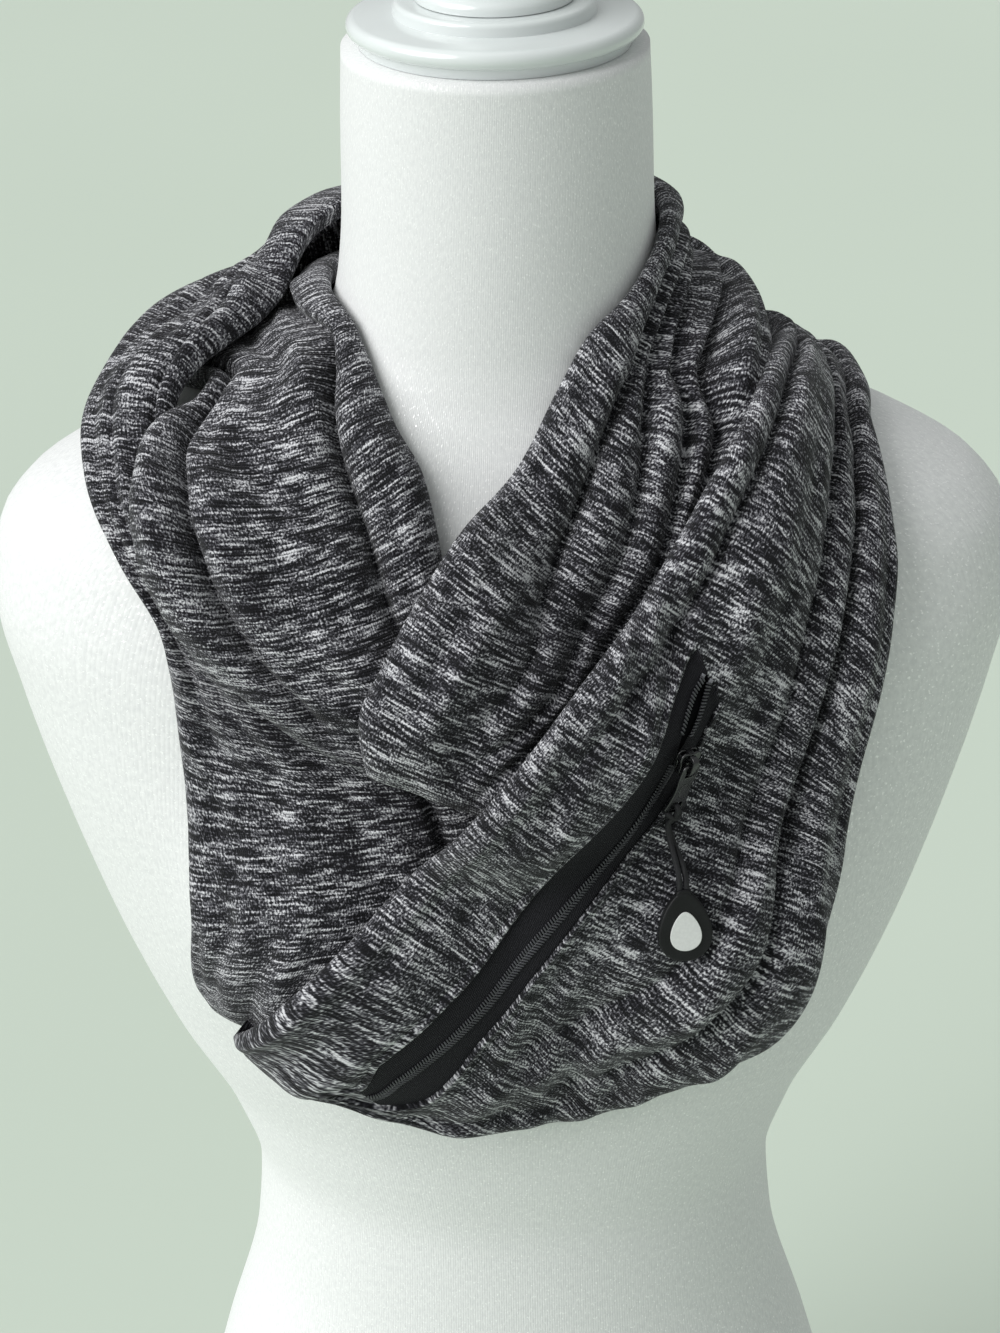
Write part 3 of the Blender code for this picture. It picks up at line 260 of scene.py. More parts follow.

# Creases of each run: first and last section, fraction across at each end, bow between
# them, half width and height in mm. A height below zero is a valley.
CREASES_ONE = np.array([
    (0.6, 5.0, .16, .24, .03, 5.0, -1.2),
    (1.4, 4.2, .34, .40, -.02, 4.0, 0.9),
    (3.2, 8.4, .12, .10, .02, 4.5, -1.0),
    (5.6, 9.6, .55, .38, .02, 2.6, -1.0),
    (6.4, 10.8, .93, .80, -.02, 3.2, -1.3),
    (7.8, 11.6, .52, .54, .02, 2.8, 1.0),
    (8.6, 12.4, .74, .62, .03, 3.4, -1.2),
    (10.2, 13.4, .30, .26, .02, 3.0, -0.9),
    (11.8, 15.4, .88, .90, -.02, 3.6, -1.1),
    (12.6, 16.8, .48, .52, .03, 3.2, 0.8),
    (14.4, 18.6, .14, .12, .02, 3.0, -0.9),
    (15.2, 19.4, .72, .74, -.03, 4.2, -1.2),
    (17.0, 21.2, .30, .20, .02, 3.4, -1.0),
    (18.0, 22.6, .90, .88, .02, 4.0, -0.9),
    (19.6, 23.2, .48, .58, -.03, 5.0, 1.0),
    (21.6, 25.4, .10, .11, .01, 2.6, -1.4),
    (22.4, 27.6, .60, .66, .02, 6.0, 1.1),
    (23.0, 26.8, .38, .34, -.02, 5.0, -1.0),
    (24.2, 27.8, .80, .84, .02, 4.4, -0.9),
    (25.0, 27.9, .17, .15, .01, 2.4, -1.2),
    (25.6, 27.9, .93, .92, .00, 3.0, -0.9),
    (26.0, 27.9, .44, .48, .01, 3.0, -1.0),
    (26.3, 27.9, .53, .57, .01, 2.6, 0.9),
], float)
CREASES_TWO = np.array([
    (1.0, 4.6, .86, .90, -.02, 5.0, -1.1),
    (1.8, 6.2, .69, .70, .02, 5.5, 1.0),
    (2.2, 5.4, .05, .05, .01, 3.0, 0.8),
    (3.4, 8.8, .50, .47, -.02, 6.0, -1.0),
    (5.8, 10.4, .66, .64, .02, 4.0, 1.1),
    (6.6, 11.8, .86, .88, .02, 4.2, -1.3),
    (7.8, 12.6, .38, .34, .02, 5.0, -1.1),
    (8.6, 13.6, .22, .28, -.02, 4.6, 0.9),
    (9.8, 14.4, .68, .62, .03, 4.0, -1.2),
    (11.4, 15.8, .42, .38, .02, 4.4, -1.1),
    (12.6, 16.4, .12, .14, .02, 3.8, -1.2),
    (13.4, 17.6, .88, .86, -.03, 4.4, -1.2),
    (14.6, 19.0, .62, .66, .02, 4.0, 1.0),
    (15.8, 20.8, .34, .40, .03, 4.6, -1.1),
    (17.4, 21.4, .14, .12, .02, 3.4, 0.9),
    (18.2, 22.4, .80, .86, -.02, 4.6, -1.2),
    (19.8, 23.4, .58, .50, .02, 3.8, -1.0),
    (21.2, 24.8, .34, .30, -.02, 3.6, 0.9),
    (22.6, 26.0, .70, .76, .02, 3.6, -1.1),
    (23.8, 27.4, .46, .40, .02, 3.4, -0.9),
    (25.0, 29.6, .16, .14, .01, 3.0, -1.0),
    (26.2, 30.2, .52, .48, .02, 3.8, 0.8),
    (27.4, 30.4, .74, .70, -.02, 3.2, -0.8),
], float)


def unit(vectors: np.ndarray) -> np.ndarray:
    """Vectors of length one."""
    return vectors / np.maximum(np.linalg.norm(vectors, axis=-1, keepdims=True), 1e-12)


def bell(away: np.ndarray, width: float) -> np.ndarray:
    """One where away is zero, and nearly nothing from two widths on."""
    return np.exp(-(away / width) ** 2)


def curve_through(places: np.ndarray, values: np.ndarray, where: np.ndarray) -> np.ndarray:
    """A smooth curve through rows of values that never overshoots them.

    Args:
        places: where each row of values lies.
        values: one row of values for each place.
        where: the places to read.

    Returns:
        One row of values for each place read.
    """
    steps = np.diff(places)
    slopes = np.diff(values, axis=0) / steps[:, None]
    tangents = np.zeros_like(values)
    before, after = slopes[:-1], slopes[1:]
    same_way = before * after > 0
    w1 = (2 * steps[1:] + steps[:-1])[:, None]
    w2 = (steps[1:] + 2 * steps[:-1])[:, None]
    safe = np.where(same_way, before * after, 1.0)
    mean = (w1 + w2) * safe / np.where(same_way, w1 * after + w2 * before, 1.0)
    tangents[1:-1] = np.where(same_way, mean, 0.0)
    tangents[0], tangents[-1] = slopes[0], slopes[-1]
    where = np.atleast_1d(np.asarray(where, float))
    index = np.clip(np.searchsorted(places, where) - 1, 0, len(steps) - 1)
    step = steps[index][:, None]
    t = np.clip((where - places[index])[:, None] / step, 0, 1)
    return ((1 + 2 * t) * (1 - t) ** 2 * values[index] + t * (1 - t) ** 2 * step * tangents[index]
            + t * t * (3 - 2 * t) * values[index + 1] + t * t * (t - 1) * step * tangents[index + 1])


def soften(grid: np.ndarray, passes: int, axis: int) -> np.ndarray:
    """A grid averaged with its neighbours along one axis, its ends held.

    Args:
        grid: the values.
        passes: how many times.
        axis: 0 for along, 1 for across.

    Returns:
        The softened grid.
    """
    made = grid.copy()
    for _ in range(passes):
        ends = [(0, 0), (0, 0)]
        ends[axis] = (1, 1)
        padded = np.pad(made, ends, mode="edge")
        if axis == 0:
            made = (padded[2:] + 2 * padded[1:-1] + padded[:-2]) / 4
        else:
            made = (padded[:, 2:] + 2 * padded[:, 1:-1] + padded[:, :-2]) / 4
    return made


def form_radius(angle: np.ndarray, height: np.ndarray) -> np.ndarray:
    """Horizontal radius of the form.

    Args:
        angle: round the neck's axis, 0 at the front.
        height: above the table.

    Returns:
        The radius at each.
    """
    width, front, back, square = curve_through(FORM[:, 0], FORM[:, 1:], height).T
    sine, cosine = np.sin(angle), np.cos(angle)
    depth = np.where(cosine > 0, front, back)
    radius = ((np.abs(sine) / width) ** square + (np.abs(cosine) / depth) ** square) ** (-1 / square)
    side = radius * sine
    bust = sum(bell(side - way * BUST_X, BUST_WIDTH) for way in (-1, 1))
    bust = bust * bell(height - BUST_Z, BUST_HEIGHT) * np.clip(cosine, 0, 1)
    return radius + BUST_OUT * bust


def add_mesh(name: str, points: np.ndarray, faces: Sequence, finish: bpy.types.Material,
             uvs: np.ndarray | None = None) -> bpy.types.Object:
    """A smooth-shaded piece.

    Args:
        name: the piece's name.
        points: its points, in metres.
        faces: the points of each face.
        finish: its material.
        uvs: a place on the cloth for each point, if the finish needs one.

    Returns:
        The new object.
    """
    mesh = bpy.data.meshes.new(name)
    mesh.from_pydata([tuple(map(float, point)) for point in points], [], faces)
    mesh.update()
    mesh.shade_smooth()
    if uvs is not None:
        layer = mesh.uv_layers.new(name="cloth")
        corners = np.zeros(len(mesh.loops), int)
        mesh.loops.foreach_get("vertex_index", corners)
        layer.data.foreach_set("uv", np.asarray(uvs, np.float32)[corners].ravel())
    made = bpy.data.objects.new(name, mesh)
    mesh.materials.append(finish)
    bpy.context.scene.collection.objects.link(made)
    return made


def grid_faces(rows: int, count: int, closed: bool = False) -> list[tuple[int, ...]]:
    """Faces of a grid of points.

    Args:
        rows: how many rows of points.
        count: points in each row.
        closed: whether each row is a ring.

    Returns:
        The faces, facing the side from which rows run up and points run left.
    """
    faces = []
    for row in range(rows - 1):
        for k in range(count if closed else count - 1):
            a, b = row * count + k, row * count + (k + 1) % count
            faces.append((a, b, b + count, a + count))
    return faces


def ring_faces(rings: int, sides: int, start: int = 0, capped: bool = True) -> list[tuple[int, ...]]:
    """Faces of a row of rings of points.

    Args:
        rings: how many rings.
        sides: points in each ring.
        start: the number of the first point.
        capped: whether the first and the last ring are closed.

    Returns:
        The faces.
    """
    faces = grid_faces(rings, sides, closed=True)
    if capped:
        last = (rings - 1) * sides
        faces += [tuple(reversed(range(sides))), tuple(range(last, last + sides))]
    return [tuple(start + point for point in face) for face in faces]


def blend(grid: np.ndarray, rows: tuple[np.ndarray, np.ndarray], column: np.ndarray, down: np.ndarray,
          across: np.ndarray) -> np.ndarray:
    """A grid read between two rows and two columns.

    Args:
        grid: the values.
        rows: the two rows.
        column: the first of the two columns.
        down: share of the second row.
        across: share of the second column.

    Returns:
        The value at each place.
    """
    first, second = rows
    return ((1 - down) * (1 - across) * grid[first, column] + down * (1 - across) * grid[second, column]
            + (1 - down) * across * grid[first, column + 1] + down * across * grid[second, column + 1])


class Shader:
    """A short way to write a material's nodes."""

    def __init__(self, name: str) -> None:
        """Start a material with its Principled shader.

        Args:
            name: the material's name.
        """
        self.material = bpy.data.materials.new(name)
        self.material.use_nodes = True
        self.tree = self.material.node_tree
        self.principled = self.tree.nodes["Principled BSDF"]

    def node(self, kind: str, inputs: dict | None = None, **settings: object) -> bpy.types.Node:
        """A node with its settings and inputs.

        Args:
            kind: the node's type.
            inputs: values or sockets by input name or number.
            settings: the node's own properties.

        Returns:
            The node.
        """
        made = self.tree.nodes.new(kind)
        for key, value in settings.items():
            setattr(made, key, value)
        for key, value in (inputs or {}).items():
            if isinstance(value, bpy.types.NodeSocket):
                self.tree.links.new(value, made.inputs[key])
            else:
                made.inputs[key].default_value = value
        return made

    def math(self, operation: str, first: object, second: object = 0.0) -> bpy.types.NodeSocket:
        """One sum of two values or sockets."""
        return self.node("ShaderNodeMath", {0: first, 1: second}, operation=operation).outputs[0]

    def plus(self, first: object, second: object) -> bpy.types.NodeSocket:
        """Two values or sockets added."""
        return self.math("ADD", first, second)

    def times(self, first: object, second: object) -> bpy.types.NodeSocket:
        """Two values or sockets multiplied."""
        return self.math("MULTIPLY", first, second)

    def arches(self, phase: bpy.types.NodeSocket) -> bpy.types.NodeSocket:
        """Arches side by side, each half a turn of the phase wide and one high."""
        return self.math("ABSOLUTE", self.math("SINE", phase))

    def on_cloth(self) -> list[bpy.types.NodeSocket]:
        """Place on the cloth in metres, then its parts along and across.

        Returns:
            The three sockets.
        """
        place = self.node("ShaderNodeUVMap", uv_map="cloth").outputs[0]
        parts = self.node("ShaderNodeSeparateXYZ", {0: place}).outputs
        return [place, parts[0], parts[1]]

    def stretched(self, source: bpy.types.NodeSocket, scale: Sequence[float]) -> bpy.types.NodeSocket:
        """Coordinates multiplied by a scale along each axis."""
        return self.node("ShaderNodeVectorMath", {0: source, 1: tuple(scale)},
                         operation="MULTIPLY").outputs[0]

    def noise(self, place: bpy.types.NodeSocket, scale: Sequence[float],
              detail: float = 2.0) -> bpy.types.NodeSocket:
        """Noise at a place, with this many waves a metre along each axis."""
        return self.node("ShaderNodeTexNoise", {"Vector": self.stretched(place, scale), "Scale": 1.0,
                                                "Detail": detail, "Roughness": 0.5}).outputs[0]

    def grain(self, waves: float, detail: float = 2.0) -> bpy.types.NodeSocket:
        """Noise in the piece's own space, with this many waves a metre."""
        place = self.node("ShaderNodeTexCoord").outputs["Object"]
        return self.noise(place, (waves, waves, waves), detail)

    def mixed(self, share: object, first: object, second: object,
              blend_type: str = "MIX") -> bpy.types.NodeSocket:
        """The second colour laid over the first one."""
        return self.node("ShaderNodeMix", {0: share, 6: first, 7: second}, data_type="RGBA",
                         blend_type=blend_type).outputs[2]

    def shaded(self, value: bpy.types.NodeSocket, colour: Sequence[float], shares: Sequence[float],
               places: Sequence[float]) -> bpy.types.NodeSocket:
        """A colour that goes from one share of itself to another between two places along a value."""
        stops = [(place, tuple(part * share for part in colour)) for place, share in zip(places, shares)]
        return self.ramp(value, stops)

    def ramp(self, value: bpy.types.NodeSocket, stops: Sequence[tuple]) -> bpy.types.NodeSocket:
        """Colours along a value.

        Args:
            value: from 0 to 1.
            stops: (place, (red, green, blue)) in order.

        Returns:
            The colour's socket.
        """
        made = self.node("ShaderNodeValToRGB", {0: value})
        ramp = made.color_ramp
        while len(ramp.elements) < len(stops):
            ramp.elements.new(0.5)
        for element, (place, colour) in zip(ramp.elements, stops):
            element.position = place
            element.color = (*colour, 1.0)
        return made.outputs[0]

    def bump(self, height: bpy.types.NodeSocket, strength: float, distance: float) -> None:
        """Raise the surface by a height."""
        made = self.node("ShaderNodeBump", {"Height": height, "Strength": strength, "Distance": distance})
        self.tree.links.new(made.outputs[0], self.principled.inputs["Normal"])

    def set(self, **values: object) -> None:
        """Values or sockets on the shader, by input name with underscores for spaces."""
        for key, value in values.items():
            socket = self.principled.inputs[key.replace("_", " ")]
            if isinstance(value, bpy.types.NodeSocket):
                self.tree.links.new(value, socket)
            else:
                socket.default_value = value


@dataclass(frozen=True)
class HeatherJersey:
    """Space-dyed jersey: short pale slubs across the strand, in bands, on charcoal stitches."""

    wale: float = 1.15 * MM
    course: float = 0.95 * MM
    slub_length: float = 10.0 * MM
    band_length: float = 34.0 * MM
    band_width: float = 4.6 * MM
    stitch_depth: float = 0.30 * MM
    shares: tuple[float, float, float] = (0.36, 0.26, 0.38)

    def build(self) -> bpy.types.Material:
        """Make the material.

        Returns:
            The material.
        """
        sh = Shader("heather_jersey")
        place, along, across = sh.on_cloth()
        slub_share, band_share, stitch_share = self.shares
        slub = sh.noise(place, (1.0 / self.wale, 1 / self.slub_length, 0), 1.0)
        band = sh.noise(place, (1 / self.band_width, 1 / self.band_length, 0))
        stitch = sh.noise(place, (1.25 / self.wale, 1.1 / self.course, 0), 1.0)
        pattern = sh.plus(sh.times(slub, slub_share), sh.times(band, band_share))
        pattern = sh.plus(pattern, sh.times(stitch, stitch_share))
        colour = sh.ramp(pattern, [
            (0.430, (0.0042, 0.0042, 0.0058)),
            (0.476, (0.014, 0.014, 0.018)),
            (0.512, (0.066, 0.065, 0.076)),
            (0.548, (0.215, 0.214, 0.232)),
            (0.600, (0.620, 0.622, 0.645)),
        ])
        ribs = sh.arches(sh.times(along, math.pi / self.wale))
        slant = sh.plus(sh.times(across, 2 * math.pi / self.course), sh.times(ribs, 2.2))
        loops = sh.times(sh.math("SINE", slant), 0.28)
        height = sh.plus(sh.plus(ribs, loops), sh.times(slub, 0.8))
        # Painted shade: the base colour is made darker in the valleys between the ribs.
        shade = sh.ramp(ribs, [(0.0, (0.60, 0.60, 0.60)), (0.55, (1.0, 1.0, 1.0))])
        sh.set(Base_Color=sh.mixed(0.75, colour, shade, "MULTIPLY"), Roughness=0.95, Sheen_Weight=0.12,
               Sheen_Roughness=0.5, Specular_IOR_Level=0.22)
        sh.bump(height, 0.75, self.stitch_depth)
        return sh.material


@dataclass(frozen=True)
class ShimmerCover:
    """White stretch cover with fine upright ribs and a silver glint in its yarn."""

    rib: float = 0.0016
    glint: float = 0.0011
    relief: float = 0.18 * MM

    def build(self) -> bpy.types.Material:
        """Make the material.

        Returns:
            The material.
        """
        sh = Shader("shimmer_cover")
        place, along, _ = sh.on_cloth()
        ribs = sh.arches(sh.times(along, math.pi / self.rib))
        grain = sh.noise(place, (1 / self.rib, 0.55 / self.rib, 0))
        sparks = sh.noise(place, (1 / self.glint, 0.8 / self.glint, 0), 1.0)
        spark = sh.ramp(sparks, [(0.62, (0.0, 0.0, 0.0)), (0.72, (1.0, 1.0, 1.0))])
        base = sh.ramp(grain, [(0.35, (0.705, 0.715, 0.715)), (0.65, (0.785, 0.795, 0.79))])
        sh.set(Base_Color=sh.mixed(spark, base, (1.0, 1.0, 1.0, 1.0)), Sheen_Weight=0.15,
               Roughness=sh.math("SUBTRACT", 0.62, sh.times(spark, 0.34)), Metallic=sh.times(spark, 0.35))
        sh.bump(sh.plus(ribs, grain), 0.28, self.relief)
        return sh.material


@dataclass(frozen=True)
class GlossPaint:
    """Glossy white paint, a little uneven."""

    colour: tuple[float, float, float] = (0.70, 0.74, 0.735)

    def build(self) -> bpy.types.Material:
        """Make the material.

        Returns:
            The material.
        """
        sh = Shader("gloss_white")
        wave = sh.grain(45)
        sh.set(Base_Color=sh.shaded(wave, self.colour, (0.97, 1), (0.3, 0.7)),
               Roughness=sh.plus(0.14, sh.times(wave, 0.08)), Coat_Weight=0.4, Coat_Roughness=0.08)
        sh.bump(wave, 0.05, 0.0006)
        return sh.material


@dataclass(frozen=True)
class ZipTape:
    """Black woven tape with a herringbone in it."""

    yarn: float = 0.75 * MM
    relief: float = 0.18 * MM

    def build(self) -> bpy.types.Material:
        """Make the material.

        Returns:
            The material.
        """
        sh = Shader("woven_tape")
        place, along, across = sh.on_cloth()
        rows = sh.times(across, 2 * math.pi / (2.2 * self.yarn))
        zigzag = sh.times(sh.arches(sh.times(rows, 0.25)), 3.0)
        weave = sh.math("SINE", sh.plus(sh.times(along, 2 * math.pi / self.yarn), zigzag))
        fuzz = sh.noise(place, (1 / self.yarn, 1 / self.yarn, 0))
        # Painted light on the weave's crests: the base colour is lighter where the bump stands up, with
        # random tone from the fuzz.
        weave_light_and_fuzz = sh.plus(sh.times(weave, 0.25), fuzz)
        sh.set(Base_Color=sh.ramp(weave_light_and_fuzz, [(0.30, (0.0035, 0.0035, 0.0045)), (0.75, (0.0260, 0.0250, 0.0310))]),
               Roughness=0.80, Specular_IOR_Level=0.20)
        sh.bump(weave, 0.6, self.relief)
        return sh.material


class Dark(Enum):
    """The black finishes of the zip and its pull, and the near-black painted shade of the pocket's lining:
    name, colour, roughness, metal, grain size and gloss.
    """

    COIL = ("nylon_coil", (0.045, 0.045, 0.052), 0.34, 0.0, 0.0004, 0.60)
    METAL = ("black_metal", (0.005, 0.005, 0.006), 0.22, 0.0, 0.0006, 0.80)
    RUBBER = ("black_rubber", (0.0065, 0.0068, 0.0075), 0.45, 0.0, 0.0005, 0.26)
    CORD = ("braided_cord", (0.0120, 0.0120, 0.0140), 0.60, 0.0, 0.0007, 0.35)
    # The pocket's lining is real, but its near-black colour is painted shade for the inside of the open
    # mouth.
    LINING_PAINTED_SHADE = ("lining_painted_shade", (0.0020, 0.0020, 0.0026), 0.95, 0.0, 0.0008, 0.05)

    def build(self) -> bpy.types.Material:
        """Make the material.

        Returns:
            The material.
        """
        name, colour, rough, metal, grain, gloss = self.value
        sh = Shader(name)
        speck, worn = sh.grain(1 / grain, 3.0), sh.grain(160)
        tone = sh.plus(sh.times(speck, 0.5), sh.times(worn, 0.5))
        sh.set(Base_Color=sh.shaded(tone, colour, (0.7, 1.5), (0.35, 0.65)), Metallic=metal,
               Specular_IOR_Level=gloss, Roughness=sh.plus(rough - 0.05, sh.times(worn, 0.12)))
        sh.bump(speck, 0.25 if self is Dark.CORD else 0.12, grain * 0.3)
        return sh.material


@dataclass(frozen=True)
class PaleInlay:
    """Off-white rubber set into the tag."""

    colour: tuple[float, float, float] = (0.72, 0.73, 0.72)

    def build(self) -> bpy.types.Material:
        """Make the material.

        Returns:
            The material.
        """
        sh = Shader("pale_inlay")
        speck = sh.grain(900)
        sh.set(Base_Color=sh.shaded(speck, self.colour, (0.93, 1), (0.35, 0.65)), Roughness=0.55)
        sh.bump(speck, 0.15, 0.0002)
        return sh.material


@dataclass(frozen=True)
class PaleFloor:
    """The plain pale floor."""

    colour: tuple[float, float, float] = (0.555, 0.632, 0.545)

    def build(self) -> bpy.types.Material:
        """Make the material.

        Returns:
            The material.
        """
        sh = Shader("pale_floor")
        sh.set(Base_Color=sh.shaded(sh.grain(1.5), self.colour, (0.98, 1), (0.3, 0.7)), Roughness=0.9)
        return sh.material


class FormMap:
    """Places on the form, read by angle and drop."""

    def __init__(self) -> None:
        """Measure the drop down the form along each angle."""
        heights = np.linspace(NECK_TOP, 0.25, 260)
        self.angles = np.radians(np.arange(-180, 181, 2.5))
        self.drops = np.linspace(0, 0.50, 201)
        self.radii = np.zeros((len(self.angles), len(self.drops)))
        self.heights = np.zeros_like(self.radii)
        for index, angle in enumerate(self.angles):
            radii = form_radius(np.full_like(heights, angle), heights)
            run = np.concatenate([[0], np.cumsum(np.hypot(np.diff(radii), np.diff(heights)))])
            self.radii[index] = np.interp(self.drops, run, radii)
            self.heights[index] = np.interp(self.drops, run, heights)

    def read(self, grid: np.ndarray, angle: np.ndarray, drop: np.ndarray) -> np.ndarray:
        """Value of a grid at places between its points.

        Args:
            grid: the form's radii or heights.
            angle: round the neck's axis, 0 at the front.
            drop: down the form.

        Returns:
            The value at each place.
        """
        turn = (angle + np.pi) % (2 * np.pi) - np.pi
        i = (turn - self.angles[0]) / (self.angles[1] - self.angles[0])
        j = np.clip(drop / self.drops[1], 0, len(self.drops) - 1.001)
        i0 = np.clip(np.floor(i).astype(int), 0, len(self.angles) - 2)
        j0 = np.floor(j).astype(int)
        return blend(grid, (i0, i0 + 1), j0, i - i0, j - j0)

    def place(self, angle: np.ndarray, drop: np.ndarray) -> np.ndarray:
        """Point on the form.

        Args:
            angle: round the neck's axis, 0 at the front.
            drop: down the form.

        Returns:
            The point at each place.
        """
        radius = self.read(self.radii, angle, drop)
        height = self.read(self.heights, angle, drop)
        return np.stack([radius * np.sin(angle), -radius * np.cos(angle), height], -1)

    def outward(self, angle: np.ndarray, drop: np.ndarray) -> np.ndarray:
        """Direction straight out of the form, smoothed over a fold's width.

        Args:
            angle: round the neck's axis, 0 at the front.
            drop: down the form.

        Returns:
            A direction of length one at each place.
        """
        turn, reach = 0.12, 0.012
        across = self.place(angle + turn, drop) - self.place(angle - turn, drop)
        down = self.place(angle, drop + reach) - self.place(angle, np.maximum(drop - reach, 0))
        return unit(np.cross(down, across))

    def lifted(self, angle: np.ndarray, drop: np.ndarray, lift: np.ndarray) -> np.ndarray:
        """Point above the form."""
        return self.place(angle, drop) + self.outward(angle, drop) * lift[..., None]


class Support:
    """Height of the cloth already laid, on a grid of angle and drop."""

    TURN = math.radians(3.0)
    STEP = 4.0 * MM
    REACH = 500.0 * MM
    GROW = 2
    SOFT = 2

    def __init__(self) -> None:
        """Nothing is laid yet."""
        self.turns = round(2 * math.pi / self.TURN)
        self.rows = round(self.REACH / self.STEP) + 1
        self.top = np.zeros((self.turns, self.rows))

    def add(self, angle: np.ndarray, drop: np.ndarray, lift: np.ndarray) -> None:
        """Raise the map to the cloth at these places.

        Args:
            angle: round the neck's axis, 0 at the front.
            drop: down the form.
            lift: the cloth's height above the form.
        """
        i = np.round((angle % (2 * np.pi)) / self.TURN).astype(int) % self.turns
        j = np.clip(np.round(drop / self.STEP).astype(int), 0, self.rows - 1)
        np.maximum.at(self.top, (i, j), lift)

    def smooth(self) -> np.ndarray:
        """The map grown sideways, then softened, so that it is nowhere below the cloth.

        Returns:
            The softened map.
        """
        grown = self.top.copy()
        for _ in range(self.GROW + self.SOFT):
            wide = np.maximum(grown, np.maximum(np.roll(grown, 1, 0), np.roll(grown, -1, 0)))
            grown = wide.copy()
            grown[:, 1:] = np.maximum(grown[:, 1:], wide[:, :-1])
            grown[:, :-1] = np.maximum(grown[:, :-1], wide[:, 1:])
        for _ in range(self.SOFT):
            grown = (np.roll(grown, 1, 0) + grown + np.roll(grown, -1, 0)) / 3
            padded = np.pad(grown, ((0, 0), (1, 1)), mode="edge")
            grown = (padded[:, 2:] + padded[:, 1:-1] + padded[:, :-2]) / 3
        return grown

    def read(self, grid: np.ndarray, angle: np.ndarray, drop: np.ndarray) -> np.ndarray:
        """Height of a smoothed map between its points.

        Args:
            grid: the smoothed map.
            angle: round the neck's axis, 0 at the front.
            drop: down the form.

        Returns:
            The height at each place.
        """
        i = (angle % (2 * np.pi)) / self.TURN
        j = np.clip(drop / self.STEP, 0, self.rows - 1.001)
        i0, j0 = np.floor(i).astype(int), np.floor(j).astype(int)
        return blend(grid, (i0 % self.turns, (i0 + 1) % self.turns), j0, i - i0, j - j0)


@dataclass
class Stretch:
    """One laid length of a run, read on a fine grid of sections and fractions across."""

    node: str
    first: float
    last: float
    along: np.ndarray = field(default_factory=lambda: np.zeros(0))
    angle: np.ndarray = field(default_factory=lambda: np.zeros(0))
    drop: np.ndarray = field(default_factory=lambda: np.zeros(0))
    base: np.ndarray = field(default_factory=lambda: np.zeros(0))
    rise: np.ndarray = field(default_factory=lambda: np.zeros(0))
    face: np.ndarray = field(default_factory=lambda: np.zeros(0))


